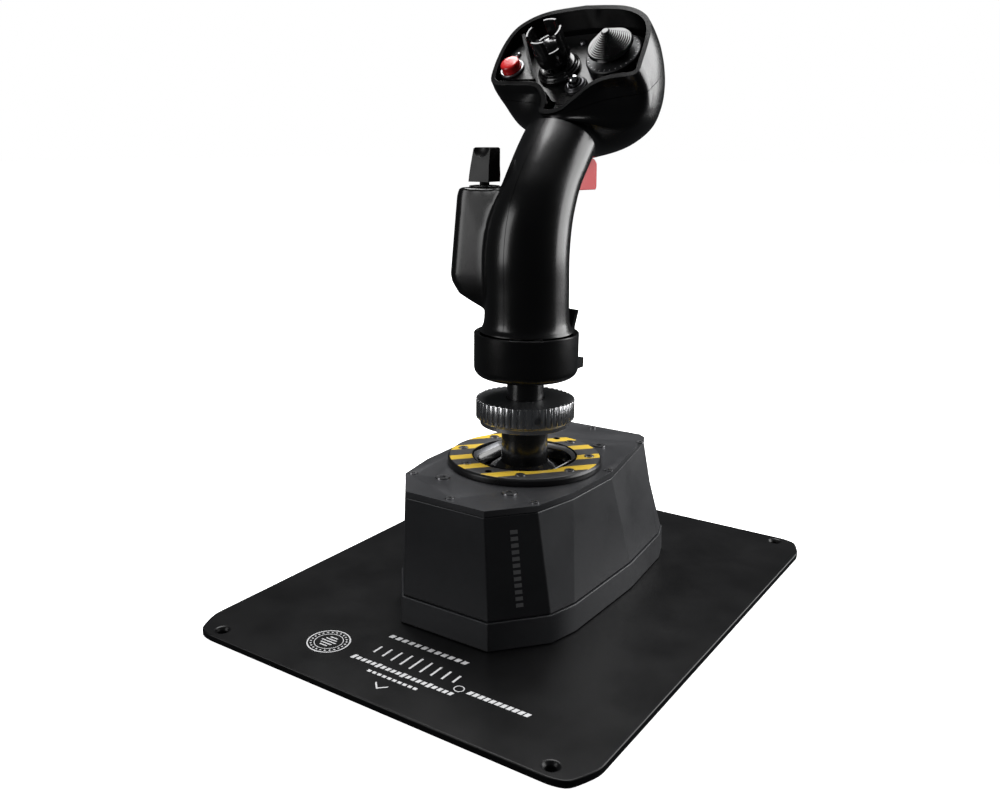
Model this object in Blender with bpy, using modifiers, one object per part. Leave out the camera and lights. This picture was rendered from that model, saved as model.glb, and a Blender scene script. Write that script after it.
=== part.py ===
"""Flight joystick: a desk plate, a faceted base with a two-axis gimbal, and a full-size hand grip.

Metres, +Z up. The origin is on the desk, under the middle of the plate. The user sits at -Y, and the
stick leans away from the user towards +Y. The grip's shells, head and controls are lofted, turned and
extruded pieces, one object for each physical piece.
"""

import math

import bmesh
import bpy
from mathutils import Matrix, Vector

MM = 0.001
GAP = 0.3 * MM

# Desk plate and its pad
PLATE_HALF_X = 113.1 * MM
PLATE_HALF_Y = 144.5 * MM
PLATE_CUT_X = 9.1 * MM
PLATE_CUT_Y = 16.5 * MM
PLATE_TOP = 5.0 * MM
PAD_THICKNESS = 0.9 * MM
PAD_INSET = 4.0 * MM
CORNER_HOLE = (96.0 * MM, 137.5 * MM)
CORNER_HOLE_RADIUS = 2.3 * MM

# Base: each outline is the right half, from the front edge to the back edge
SKIRT_FOOT = [(26.8, -79.2), (47.4, -53.7), (51.3, -36.1), (52.5, 25.5), (48.0, 72.0), (43.0, 87.0)]
HOUSING_FOOT = [(26.0, -77.9), (46.2, -53.0), (50.0, -35.7), (51.2, 25.0), (46.7, 71.5), (42.0, 85.7)]
LID_OUTLINE = [(23.5, -78.2), (40.3, -57.2), (45.4, -31.4), (46.8, 7.0), (33.8, 74.8), (29.2, 78.1)]
SKIRT_TOP = 20.1 * MM
HOUSING_BOTTOM = 20.4 * MM
HOUSING_TOP = 73.7 * MM
LID_BOTTOM = 74.0 * MM
LID_TOP = 77.1 * MM
WALL = 2.8
LID_SCREWS = [(20.3, -51.2), (20.3, 43.7)]
CHASSIS_Z = 21.0 * MM
CHASSIS_THICKNESS = 3.0 * MM

# Gimbal and stick axis
AXIS_Y = -4.5 * MM
PIVOT = Vector((0.0, AXIS_Y, 52.0 * MM))
RING_OUTER = 41.4 * MM
RING_INNER = 28.3 * MM
RING_TOP = 81.3 * MM
GATE_HALF = 21.8 * MM
GATE_CORNER = 12.0 * MM
GATE_WALL_RADIUS = 26.9 * MM
LID_BORE = 27.2 * MM
DOME_RADIUS = 29.0 * MM
DOME_WALL = 1.6 * MM
SHAFT_RADIUS = 12.4 * MM
NECK_RADIUS = 9.8 * MM
TRUNNION_RADIUS = 3.0 * MM
BEARING_OUTER = 5.0 * MM
BEARING_INNER = 3.3 * MM
GIMBAL_OUTER = 22.0 * MM
GIMBAL_INNER = 15.0 * MM
GIMBAL_HEIGHT = 9.0 * MM
BRACKET_X = 35.5 * MM
BRACKET_THICKNESS = 4.0 * MM

# Locking ring and collar
NUT_RADIUS = 26.25 * MM
NUT_BOTTOM = 99.0 * MM
NUT_TOP = 113.1 * MM
COLLAR_RADIUS = 27.5 * MM
COLLAR_BOTTOM = 125.0 * MM
COLLAR_TOP = 148.7 * MM
COLLAR_ROUND = 5.5 * MM

# Grip column: level sections as (height, centre x, centre y, half width, half depth) in millimetres
COLUMN = [
    (149.2, 0.0, -4.5, 25.0, 25.0),
    (151.0, 0.0, -4.5, 23.2, 23.0),
    (154.0, 0.0, -4.5, 22.4, 22.2),
    (170.0, 0.0, -4.8, 22.0, 21.9),
    (188.0, 0.2, -5.6, 21.9, 21.8),
    (203.0, 0.6, -3.9, 21.4, 21.8),
    (214.0, 1.4, -0.6, 20.6, 21.7),
    (224.0, 2.2, 4.4, 19.8, 21.6),
    (234.0, 2.2, 12.4, 19.9, 22.2),
    (244.0, 1.8, 21.5, 20.0, 22.8),
    (256.0, 1.2, 33.0, 19.6, 23.0),
    (268.0, 1.2, 44.0, 19.6, 23.0),
]
COLUMN_SIDES = 28
GRIP_WALL = 2.4 * MM

# Thumb rest on the left shell, in millimetres
REST_LEFT = -43.0
REST_BACK = -18.0
REST_FRONT = 8.0
REST_ROUND = 8.0
REST_TOP = 222.0
REST_BOTTOM = 161.0

# Head: outlines fan out from a hinge line across the back of the neck, each as
# (angle, length, half width, sideways shift), in degrees and millimetres
HINGE = Vector((0.6, 10.9, 256.7)) * MM
FAN = [(-45.0, 35.0, 18.8, 0.0), (-36.0, 37.0, 19.2, 0.3), (-27.5, 44.5, 21.0, 1.2), (-17.0, 56.0, 28.6, 3.6),
       (-6.0, 64.0, 36.3, 3.0), (6.7, 69.5, 41.0, 1.4), (17.6, 71.3, 43.3, 0.4), (27.5, 71.8, 44.6, -0.6),
       (35.2, 71.2, 44.9, -0.9), (45.0, 70.8, 44.6, -1.0), (55.0, 70.6, 44.0, -1.0)]
FAN_START = 2.4
SEAM_ANGLE = 27.0
HEAD_POINTS = 36
HEAD_WALL = 2.5
SHIELD_RIGHT = [(0.0, 0.0), (0.16, 0.025), (0.27, 0.10), (0.47, 0.245), (0.68, 0.30), (0.97, 0.33),
                (1.0, 0.46), (0.97, 0.72), (0.83, 0.87), (0.52, 0.965), (0.0, 1.0)]
SHIELD_LEFT = [(0.0, 0.0), (-0.12, 0.025), (-0.13, 0.12), (-0.30, 0.25), (-0.62, 0.275), (-0.93, 0.30),
               (-1.0, 0.46), (-0.97, 0.70), (-0.84, 0.86), (-0.52, 0.965), (0.0, 1.0)]

# Places on the sloping switch panel: u to the right, v up the slope, n out of it, in millimetres
PANEL_TOP_N = -3.0
PANEL_THICKNESS = 2.5
SHELF_N = 3.8
CASTLE = (-9.6, 38.2)
TRIM = (21.8, 42.8)
EVENT = (5.8, 25.0)
RED = (-33.6, 32.4)
SCREW_PANEL = (-3.7, 58.6)
SCREW_SHELF = (-35.4, 43.8)
HAT_PIVOT_N = -9.0

TRIGGER_PIN = Vector((0.6, 27.0, 243.0)) * MM
TRIGGER_HALF = 6.0 * MM
PADDLE_PIN = Vector((0.0, 26.5, 128.0)) * MM
SELECT_PIVOT = Vector((-27.6, -3.5, 216.0)) * MM

# Finishes: colour, roughness, metallic
FINISHES = {
    "black_plate": ((0.012, 0.012, 0.013), 0.42, 0.0),
    "rubber": ((0.02, 0.02, 0.02), 0.85, 0.0),
    "grey_metal": ((0.045, 0.046, 0.05), 0.45, 0.6),
    "stripe": ((0.75, 0.5, 0.04), 0.5, 0.0),
    "silver": ((0.5, 0.5, 0.5), 0.3, 1.0),
    "steel": ((0.35, 0.35, 0.36), 0.3, 1.0),
    "gloss_black": ((0.01, 0.01, 0.011), 0.18, 0.0),
    "grip_black": ((0.013, 0.013, 0.014), 0.35, 0.0),
    "red": ((0.65, 0.02, 0.03), 0.35, 0.0),
    "board_green": ((0.01, 0.12, 0.05), 0.5, 0.0),
    "dial_grey": ((0.3, 0.3, 0.31), 0.4, 0.2),
}

for old in list(bpy.data.objects):
    bpy.data.objects.remove(old)
PARTS = bpy.data.collections.new("flight_joystick")
CUTTERS = bpy.data.collections.new("cutters")
bpy.context.scene.collection.children.link(PARTS)
bpy.context.scene.collection.children.link(CUTTERS)


# ---------- helpers ----------

def finish_material(name):
    """One Principled material for each finish, made the first time it is asked for."""
    if name in bpy.data.materials:
        return bpy.data.materials[name]
    colour, roughness, metallic = FINISHES[name]
    material = bpy.data.materials.new(name)
    material.use_nodes = True
    shader = material.node_tree.nodes["Principled BSDF"]
    shader.inputs["Base Color"].default_value = (*colour, 1.0)
    shader.inputs["Roughness"].default_value = roughness
    shader.inputs["Metallic"].default_value = metallic
    material.diffuse_color = (*colour, 1.0)
    return material


def add_object(name, mesh, finish, smooth=True):
    """Links a mesh as a part, with its finish."""
    if smooth:
        mesh.shade_smooth()
        mesh.set_sharp_from_angle(angle=math.radians(35))
    part = bpy.data.objects.new(name, mesh)
    part.data.materials.append(finish_material(finish))
    PARTS.objects.link(part)
    return part


def mesh_from_bmesh(name, shape):
    """Turns a bmesh into a mesh with its faces pointing out."""
    bmesh.ops.recalc_face_normals(shape, faces=shape.faces)
    mesh = bpy.data.meshes.new(name)
    shape.to_mesh(mesh)
    shape.free()
    return mesh


def box_mesh(name, low, high):
    """A box between two corners, in metres."""
    low = Vector(low)
    high = Vector(high)
    shape = bmesh.new()
    bmesh.ops.create_cube(shape, size=1.0)
    bmesh.ops.scale(shape, vec=high - low, verts=shape.verts)
    bmesh.ops.translate(shape, vec=(low + high) / 2, verts=shape.verts)
    return mesh_from_bmesh(name, shape)


def rod_mesh(name, centre, axis, radius, length, sides=20):
    """A cylinder about an axis, centred on a point."""
    shape = bmesh.new()
    bmesh.ops.create_cone(shape, cap_ends=True, segments=sides, radius1=radius, radius2=radius, depth=length)
    turn = Vector((0, 0, 1)).rotation_difference(Vector(axis)).to_matrix().to_4x4()
    bmesh.ops.transform(shape, matrix=Matrix.Translation(centre) @ turn, verts=shape.verts)
    return mesh_from_bmesh(name, shape)


def cut(part, cutter_mesh, operation="DIFFERENCE"):
    """Adds an exact Boolean of a cutter mesh to a part."""
    cutter = bpy.data.objects.new(f"{part.name}_cutter", cutter_mesh)
    cutter.hide_render = True
    cutter.display_type = "WIRE"
    CUTTERS.objects.link(cutter)
    boolean = part.modifiers.new(cutter.name, "BOOLEAN")
    boolean.operation = operation
    boolean.object = cutter
    boolean.solver = "EXACT"
    return part


def turned_mesh(name, profile, centre, axis=(0, 0, 1), steps=40):
    """Turns a closed profile of (radius, height) points about an axis through a centre."""
    shape = bmesh.new()
    ring = [shape.verts.new((radius, 0.0, height)) for radius, height in profile]
    for start, end in zip(ring, ring[1:] + ring[:1]):
        if start.co.x > 1e-6 or end.co.x > 1e-6:
            shape.edges.new((start, end))
    mesh = bpy.data.meshes.new(name)
    shape.to_mesh(mesh)
    shape.free()
    part = bpy.data.objects.new(name, mesh)
    PARTS.objects.link(part)
    screw = part.modifiers.new("turn", "SCREW")
    screw.steps = steps
    screw.render_steps = steps
    screw.use_merge_vertices = True
    screw.merge_threshold = 0.00001
    bpy.context.view_layer.update()
    depsgraph = bpy.context.evaluated_depsgraph_get()
    turned = bpy.data.meshes.new_from_object(part.evaluated_get(depsgraph))
    bpy.data.objects.remove(part)
    shape = bmesh.new()
    shape.from_mesh(turned)
    bmesh.ops.remove_doubles(shape, verts=shape.verts, dist=1e-6)
    turn = Vector((0, 0, 1)).rotation_difference(Vector(axis)).to_matrix().to_4x4()
    bmesh.ops.transform(shape, matrix=Matrix.Translation(centre) @ turn, verts=shape.verts)
    return mesh_from_bmesh(name, shape)


def turned(name, profile, finish, centre=(0, 0, 0), axis=(0, 0, 1), steps=40):
    """A turned part."""
    return add_object(name, turned_mesh(name, profile, centre, axis, steps), finish)


def loft_mesh(name, loops, closed=False, caps=False):
    """Joins equal rings of points by quads. Closed joins the last ring to the first."""
    shape = bmesh.new()
    rings = [[shape.verts.new(point) for point in loop] for loop in loops]
    pairs = list(zip(rings, rings[1:]))
    if closed:
        pairs.append((rings[-1], rings[0]))
    for lower, upper in pairs:
        count = len(lower)
        for index in range(count):
            after = (index + 1) % count
            shape.faces.new((lower[index], lower[after], upper[after], upper[index]))
    if caps:
        shape.faces.new(list(reversed(rings[0])))
        shape.faces.new(rings[-1])
    return mesh_from_bmesh(name, shape)


def flat_mesh(name, outline, bottom, top, holes=()):
    """Extrudes a flat outline, with round holes of (x, y, radius), between two heights."""
    curve = bpy.data.curves.new(name, "CURVE")
    curve.dimensions = "2D"
    curve.fill_mode = "BOTH"
    curve.extrude = (top - bottom) / 2
    add_poly(curve, outline)
    for x, y, radius in holes:
        add_poly(curve, circle(x, y, radius, 12 if radius < 0.01 else 40))
    part = bpy.data.objects.new(name, curve)
    PARTS.objects.link(part)
    part.location.z = (top + bottom) / 2
    bpy.context.view_layer.update()
    depsgraph = bpy.context.evaluated_depsgraph_get()
    mesh = bpy.data.meshes.new_from_object(part.evaluated_get(depsgraph))
    mesh.transform(part.matrix_world)
    bpy.data.objects.remove(part)
    shape = bmesh.new()
    shape.from_mesh(mesh)
    bmesh.ops.remove_doubles(shape, verts=shape.verts, dist=1e-6)
    return mesh_from_bmesh(name, shape)


def add_poly(curve, points):
    """Adds one closed straight-sided spline."""
    spline = curve.splines.new("POLY")
    spline.points.add(len(points) - 1)
    for target, (x, y) in zip(spline.points, points):
        target.co = (x, y, 0.0, 1.0)
    spline.use_cyclic_u = True


def circle(x, y, radius, count):
    """Points of a circle."""
    steps = [2 * math.pi * index / count for index in range(count)]
    return [(x + radius * math.cos(angle), y + radius * math.sin(angle)) for angle in steps]


def mirrored(half, inset=0.0):
    """A whole outline in metres from its right half in millimetres, drawn in by an inset."""
    right = [((x - inset) * MM, (y - math.copysign(inset, y)) * MM) for x, y in half]
    left = [(-x, y) for x, y in reversed(right)]
    return right + left


def rounded_rectangle(half_x, half_y, radius, per_corner):
    """Points of a rectangle with round corners, centred on zero."""
    points = []
    for quarter, (sx, sy) in enumerate([(1, 1), (-1, 1), (-1, -1), (1, -1)]):
        for index in range(per_corner):
            angle = math.pi / 2 * (quarter + index / (per_corner - 1))
            points.append((sx * (half_x - radius) + radius * math.cos(angle),
                           sy * (half_y - radius) + radius * math.sin(angle)))
    return points


def panel_point(u, v, n):
    """A place on the switch panel, from millimetres along, up and out of it, to metres."""
    slope = math.sqrt(0.5)
    return HINGE + Vector((u, slope * (v - n), slope * (v + n))) * MM


PANEL_TURN = Matrix.Rotation(math.radians(45.0), 4, "X")


def on_panel(mesh, place, n=0.0):
    """Moves a mesh made about zero, standing on +Z, to a place on the switch panel."""
    mesh.transform(Matrix.Translation(panel_point(place[0], place[1], n)) @ PANEL_TURN)
    return mesh


def scaled(profile):
    """A profile in metres from one in millimetres."""
    return [(radius * MM, height * MM) for radius, height in profile]


# ---------- base ----------

def plate_outline(inset=0.0):
    """The desk plate's outline: a rectangle with cut and rounded corners."""
    x = PLATE_HALF_X - inset
    y = PLATE_HALF_Y - inset
    corner = [(x, y - PLATE_CUT_Y), (x - 0.35 * PLATE_CUT_X, y - 0.52 * PLATE_CUT_Y),
              (x - 0.72 * PLATE_CUT_X, y - 0.12 * PLATE_CUT_Y), (x - 1.5 * PLATE_CUT_X, y)]
    outline = corner
    outline = outline + [(-px, py) for px, py in reversed(corner)]
    outline = outline + [(-px, -py) for px, py in corner]
    return outline + [(px, -py) for px, py in reversed(corner)]


def corner_holes(radius):
    """Holes near the plate's four corners."""
    x, y = CORNER_HOLE
    return [(sx * x, sy * y, radius) for sx in (1, -1) for sy in (1, -1)]


def make_plate():
    """The steel desk plate and the thin rubber pad under it."""
    plate = flat_mesh("desk_plate", plate_outline(), PAD_THICKNESS + GAP, PLATE_TOP,
                      corner_holes(CORNER_HOLE_RADIUS))
    add_object("desk_plate", plate, "black_plate")
    pad = flat_mesh("rubber_pad", plate_outline(PAD_INSET), 0.0, PAD_THICKNESS,
                    corner_holes(CORNER_HOLE_RADIUS + GAP))
    add_object("rubber_pad", pad, "rubber")


def tapered_wall(name, lower, upper, bottom, top, finish):
    """A wall between two right-half outlines, open at both ends."""
    loops = [[(x, y, height) for x, y in mirrored(outline, inset)]
             for outline, height, inset in ((lower, bottom, 0.0), (upper, top, 0.0),
                                            (upper, top, WALL), (lower, bottom, WALL))]
    return add_object(name, loft_mesh(name, loops, closed=True), finish, smooth=False)


def make_housing():
    """The skirt, the faceted housing on it, and the lid."""
    skirt_top = [(x - 0.4, y - math.copysign(0.4, y)) for x, y in SKIRT_FOOT]
    skirt = tapered_wall("base_skirt", SKIRT_FOOT, skirt_top, PLATE_TOP + GAP, SKIRT_TOP, "grey_metal")
    cut(skirt, box_mesh("socket_hole", (-5.2 * MM, 80.0 * MM, 9.6 * MM), (5.2 * MM, 95.0 * MM, 14.4 * MM)))
    tapered_wall("base_housing", HOUSING_FOOT, LID_OUTLINE, HOUSING_BOTTOM, HOUSING_TOP, "grey_metal")
    holes = [(sx * x * MM, y * MM, 2.4 * MM) for x, y in LID_SCREWS for sx in (1, -1)]
    holes.append((0.0, AXIS_Y, LID_BORE))
    add_object("lid_plate", flat_mesh("lid_plate", mirrored(LID_OUTLINE), LID_BOTTOM, LID_TOP, holes),
               "grey_metal", smooth=False)


def make_chassis():
    """The inner floor with four posts that the lid is screwed to, and the bearing brackets on it."""
    outline = mirrored([(22, -70), (40, -50), (43, -34), (44.5, 25), (40.5, 66), (36, 76)])
    chassis = add_object("chassis", flat_mesh("chassis", outline, CHASSIS_Z, CHASSIS_Z + CHASSIS_THICKNESS),
                         "steel", smooth=False)
    post_length = HOUSING_TOP - GAP - (PLATE_TOP + GAP)
    for side in (1, -1):
        for x, y in LID_SCREWS:
            centre = Vector((side * x * MM, y * MM, PLATE_TOP + GAP + post_length / 2))
            cut(chassis, rod_mesh("post", centre, (0, 0, 1), 4.5 * MM, post_length, 16), "UNION")
    for side in (1, -1):
        for x, y in LID_SCREWS:
            centre = Vector((side * x * MM, y * MM, HOUSING_TOP - 4 * MM))
            cut(chassis, rod_mesh("bore", centre, (0, 0, 1), 2.4 * MM, 12 * MM, 12))
    for side, word in ((1, "right"), (-1, "left")):
        middle = side * BRACKET_X
        half = BRACKET_THICKNESS / 2
        bottom = CHASSIS_Z + CHASSIS_THICKNESS + GAP
        low = (middle - half, AXIS_Y - 13 * MM, bottom)
        high = (middle + half, AXIS_Y + 13 * MM, PIVOT.z + 10 * MM)
        bracket = add_object(f"pitch_bracket_{word}", box_mesh("bracket", low, high), "steel", smooth=False)
        centre = Vector((middle, PIVOT.y, PIVOT.z))
        cut(bracket, rod_mesh("bore", centre, (1, 0, 0), BEARING_OUTER + GAP, 12 * MM, 24))
        bearing(f"pitch_bearing_{word}", centre, (1, 0, 0), BRACKET_THICKNESS)


def bearing(name, centre, axis, width):
    """A plain bearing bush about an axis."""
    half = width / 2
    profile = [(BEARING_OUTER, half), (BEARING_OUTER, -half), (BEARING_INNER, -half), (BEARING_INNER, half)]
    return turned(name, profile, "steel", centre, axis, 24)


def make_lid_screws():
    """Four countersunk screws that hold the lid to the chassis posts."""
    profile = scaled([(0, 0), (2.05, -0.05), (2.05, -2.6), (2.0, -9.0), (0, -9.0)])
    number = 1
    for side in (1, -1):
        for x, y in LID_SCREWS:
            centre = Vector((side * x * MM, y * MM, LID_TOP - 0.1 * MM))
            turned(f"lid_screw_{number}", profile, "steel", centre, steps=16)
            number += 1


def make_ring_and_gate():
    """The striped ring on the lid, and the square gate inside it that limits the stick."""
    bevel = 1.2 * MM
    bottom = LID_TOP + GAP
    profile = [(RING_INNER, RING_TOP), (RING_OUTER - bevel, RING_TOP), (RING_OUTER, RING_TOP - bevel),
               (RING_OUTER, bottom), (RING_INNER, bottom)]
    turned("striped_ring", profile, "stripe", (0, AXIS_Y, 0), steps=40)
    count = 9
    square = rounded_rectangle(GATE_HALF, GATE_HALF, GATE_CORNER, count)
    angles = [math.atan2(y, x) for x, y in square]

    def round_loop(radius, height):
        return [(radius * math.cos(a), radius * math.sin(a) + AXIS_Y, height) for a in angles]

    def square_loop(height):
        return [(x, y + AXIS_Y, height) for x, y in square]

    shelf = bottom
    loops = [round_loop(GATE_WALL_RADIUS, LID_BOTTOM), round_loop(GATE_WALL_RADIUS, shelf),
             round_loop(RING_INNER - GAP, shelf), round_loop(RING_INNER - GAP, RING_TOP - 0.3 * MM),
             round_loop(26.3 * MM, RING_TOP - 1.3 * MM), square_loop(LID_TOP), square_loop(LID_BOTTOM)]
    add_object("gate_bowl", loft_mesh("gate_bowl", loops, closed=True), "gloss_black")


def make_electronics():
    """The socket in the back of the skirt, the board inside the base, and the angle sensor."""
    shell = box_mesh("socket", (-4.8 * MM, 79 * MM, 10.0 * MM), (4.8 * MM, 86.2 * MM, 14.0 * MM))
    socket = add_object("usb_socket", shell, "steel", smooth=False)
    cut(socket, box_mesh("mouth", (-4.0 * MM, 81 * MM, 10.8 * MM), (4.0 * MM, 90 * MM, 13.2 * MM)))
    bottom = CHASSIS_Z + CHASSIS_THICKNESS + GAP
    board = box_mesh("board", (-25 * MM, 52 * MM, bottom), (25 * MM, 70 * MM, bottom + 1.6 * MM))
    add_object("base_circuit_board", board, "board_green", smooth=False)
    near = BRACKET_X + BRACKET_THICKNESS / 2 + GAP
    half = 7 * MM
    sensor = box_mesh("sensor", (near + 1 * MM, AXIS_Y - half, PIVOT.z - half),
                      (near + 4 * MM, AXIS_Y + half, PIVOT.z + half))
    add_object("pitch_sensor", sensor, "board_green", smooth=False)


def coil(name, centre, axis, radius, wire, length, turns):
    """A coil spring as a wire along a helix."""
    curve = bpy.data.curves.new(name, "CURVE")
    curve.dimensions = "3D"
    curve.bevel_depth = wire
    curve.bevel_resolution = 0
    curve.use_fill_caps = True
    per_turn = 12
    count = int(turns * per_turn) + 1
    spline = curve.splines.new("POLY")
    spline.points.add(count - 1)
    turn = Vector((0, 0, 1)).rotation_difference(Vector(axis)).to_matrix()
    for index, point in enumerate(spline.points):
        angle = 2 * math.pi * index / per_turn
        along = length * (index / (count - 1) - 0.5)
        local = Vector((radius * math.cos(angle), radius * math.sin(angle), along))
        point.co = (*(centre + turn @ local), 1.0)
    part = bpy.data.objects.new(name, curve)
    PARTS.objects.link(part)
    bpy.context.view_layer.update()
    mesh = bpy.data.meshes.new_from_object(part.evaluated_get(bpy.context.evaluated_depsgraph_get()))
    bpy.data.objects.remove(part)
    shape = bmesh.new()
    shape.from_mesh(mesh)
    bmesh.ops.remove_doubles(shape, verts=shape.verts, dist=1e-6)
    return add_object(name, mesh_from_bmesh(name, shape), "steel")


def make_gimbal():
    """The ring that pitches on its side trunnions, with the bearings for the stick's roll trunnions."""
    half = GIMBAL_HEIGHT / 2
    profile = [(GIMBAL_INNER, half), (GIMBAL_OUTER, half), (GIMBAL_OUTER, -half), (GIMBAL_INNER, -half)]
    ring = turned("gimbal_ring", profile, "steel", PIVOT, steps=32)
    reach = BRACKET_X + BRACKET_THICKNESS / 2 + GAP
    start = GIMBAL_OUTER - 2 * MM
    for side in (1, -1):
        centre = PIVOT + Vector((side * (start + reach) / 2, 0, 0))
        cut(ring, rod_mesh("trunnion", centre, (1, 0, 0), TRUNNION_RADIUS, reach - start, 16), "UNION")
    cut(ring, rod_mesh("roll_bore", PIVOT, (0, 1, 0), BEARING_OUTER - 1.0 * MM + GAP, 60 * MM, 24))
    half_width = (GIMBAL_OUTER - GIMBAL_INNER - 1.0 * MM) / 2
    middle = (GIMBAL_OUTER + GIMBAL_INNER) / 2
    for side, word in ((1, "front"), (-1, "back")):
        centre = PIVOT + Vector((0, side * middle, 0))
        outer = BEARING_OUTER - 1.0 * MM
        profile = [(outer, half_width), (outer, -half_width), (BEARING_INNER, -half_width),
                   (BEARING_INNER, half_width)]
        turned(f"roll_bearing_{word}", profile, "steel", centre, (0, 1, 0), 24)
    clear_of_dome = (DOME_RADIUS + BRACKET_X - BRACKET_THICKNESS / 2) / 2
    coil("pitch_spring", PIVOT + Vector((clear_of_dome, 0, 0)), (1, 0, 0), 5.4 * MM, 0.45 * MM, 2.8 * MM, 2)
    coil("roll_spring", PIVOT + Vector((0, 26.5 * MM, 0)), (0, 1, 0), 5.4 * MM, 0.6 * MM, 6 * MM, 4)


# ---------- stick ----------

def make_shaft():
    """The hub in the gimbal, the shaft on it, the dome that closes the gate, and the locking ring."""
    hub = turned("stick_hub", scaled([(0, 8), (10.5, 8), (10.5, -8), (0, -8)]), "steel", PIVOT, steps=24)
    cut(hub, rod_mesh("roll_trunnions", PIVOT, (0, 1, 0), TRUNNION_RADIUS, 61 * MM, 16), "UNION")
    bottom = PIVOT.z + 8 * MM + GAP
    shoulder = NUT_BOTTOM - GAP
    profile = [(0, 136 * MM), (NECK_RADIUS, 136 * MM), (NECK_RADIUS, shoulder), (SHAFT_RADIUS, shoulder),
               (SHAFT_RADIUS, bottom), (0, bottom)]
    turned("stick_shaft", profile, "gloss_black", (0, AXIS_Y, 0), steps=32)
    bore = SHAFT_RADIUS + GAP
    outer = [math.radians(angle) for angle in range(33, 66, 8)]
    inner_radius = DOME_RADIUS - DOME_WALL
    profile = [(DOME_RADIUS * math.sin(a), DOME_RADIUS * math.cos(a)) for a in outer]
    profile.insert(0, (bore, math.sqrt(DOME_RADIUS ** 2 - bore ** 2)))
    profile += [(inner_radius * math.sin(a), inner_radius * math.cos(a)) for a in reversed(outer)]
    profile[-1] = (bore, math.sqrt(inner_radius ** 2 - bore ** 2))
    turned("dome_cover", profile, "gloss_black", PIVOT, steps=32)
    bore = NECK_RADIUS + GAP
    edge = 0.4 * MM
    foot = 24.0 * MM
    profile = [(bore, NUT_TOP), (NUT_RADIUS - edge, NUT_TOP), (NUT_RADIUS, NUT_TOP - edge),
               (NUT_RADIUS, NUT_BOTTOM + 3.1 * MM), (foot, NUT_BOTTOM + 2.4 * MM), (foot, NUT_BOTTOM),
               (bore, NUT_BOTTOM)]
    turned("knurled_ring", profile, "silver", (0, AXIS_Y, 0), steps=36)


def make_collar():
    """The collar under the grip with its lugs, the plug in it, and the paddle lever on its pin."""
    arc = [math.radians(angle) for angle in (0, 22.5, 45, 67.5, 90)]
    low = COLLAR_BOTTOM + COLLAR_ROUND
    corner = COLLAR_RADIUS - COLLAR_ROUND
    inner = COLLAR_RADIUS - 3 * MM
    floor = COLLAR_BOTTOM + 4 * MM
    profile = [(inner, COLLAR_TOP), (COLLAR_RADIUS, COLLAR_TOP)]
    profile += [(corner + COLLAR_ROUND * math.cos(a), low - COLLAR_ROUND * math.sin(a)) for a in arc]
    profile += [(NECK_RADIUS + GAP, COLLAR_BOTTOM), (NECK_RADIUS + GAP, floor), (corner, floor), (inner, low)]
    collar = turned("grip_collar", profile, "grip_black", (0, AXIS_Y, 0), steps=32)
    for side in (1, -1):
        low_corner = (min(side * 13.8, side * 16.4) * MM, 12 * MM, 125.6 * MM)
        high_corner = (max(side * 13.8, side * 16.4) * MM, 29 * MM, 131.0 * MM)
        cut(collar, box_mesh("lug", low_corner, high_corner), "UNION")
    for side in (1, -1):
        centre = PADDLE_PIN + Vector((side * 15 * MM, 0, 0))
        cut(collar, rod_mesh("bore", centre, (1, 0, 0), 1.8 * MM, 4 * MM, 16))
    turned("grip_plug", scaled([(0, 8), (8.5, 8), (8.5, -2.4), (0, -2.4)]), "steel",
           (0, AXIS_Y, 138.8 * MM), steps=24)
    turned("paddle_pin", scaled([(0, 16.2), (1.45, 16.2), (1.45, -16.2), (0, -16.2)]), "steel",
           PADDLE_PIN, (1, 0, 0), 14)
    section = [(32.3, 157), (34.3, 157), (32.0, 148), (32.2, 137), (35.2, 128), (34, 123), (28, 120),
               (23, 120), (23, 123.4), (28.9, 126.6), (29.9, 132), (29.9, 148)]
    steps = 8
    half = math.radians(23.5)
    loops = []
    for index in range(steps + 1):
        angle = math.pi / 2 - half + 2 * half * index / steps
        loops.append([(r * MM * math.cos(angle), r * MM * math.sin(angle) + AXIS_Y, z * MM)
                      for r, z in section])
    paddle = add_object("paddle_lever", loft_mesh("paddle_lever", loops, caps=True), "grip_black")
    cut(paddle, rod_mesh("pin_bore", PADDLE_PIN, (1, 0, 0), 1.8 * MM, 40 * MM, 16))


def column_loop(height, cx, cy, half_width, half_depth):
    """One level section of the grip column."""
    points = []
    for index in range(COLUMN_SIDES):
        angle = 2 * math.pi * (index + 0.5) / COLUMN_SIDES
        points.append((cx * MM + half_width * MM * math.cos(angle),
                       cy * MM + half_depth * MM * math.sin(angle), height * MM))
    return points


def beyond_mesh(point, normal):
    """A large block on the far side of a plane, for cutting."""
    size = 400 * MM
    block = box_mesh("beyond", (-size, -size, 0), (size, size, size))
    turn = Vector((0, 0, 1)).rotation_difference(normal).to_matrix().to_4x4()
    block.transform(Matrix.Translation(point) @ turn)
    return block


def trigger_slot_mesh(top):
    """The room for the trigger, a little wider than it is, up to a given height."""
    half_width = TRIGGER_HALF + 0.8 * MM
    return box_mesh("trigger_slot", (TRIGGER_PIN.x - half_width, 14 * MM, 214 * MM),
                    (TRIGGER_PIN.x + half_width, 70 * MM, top))


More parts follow.
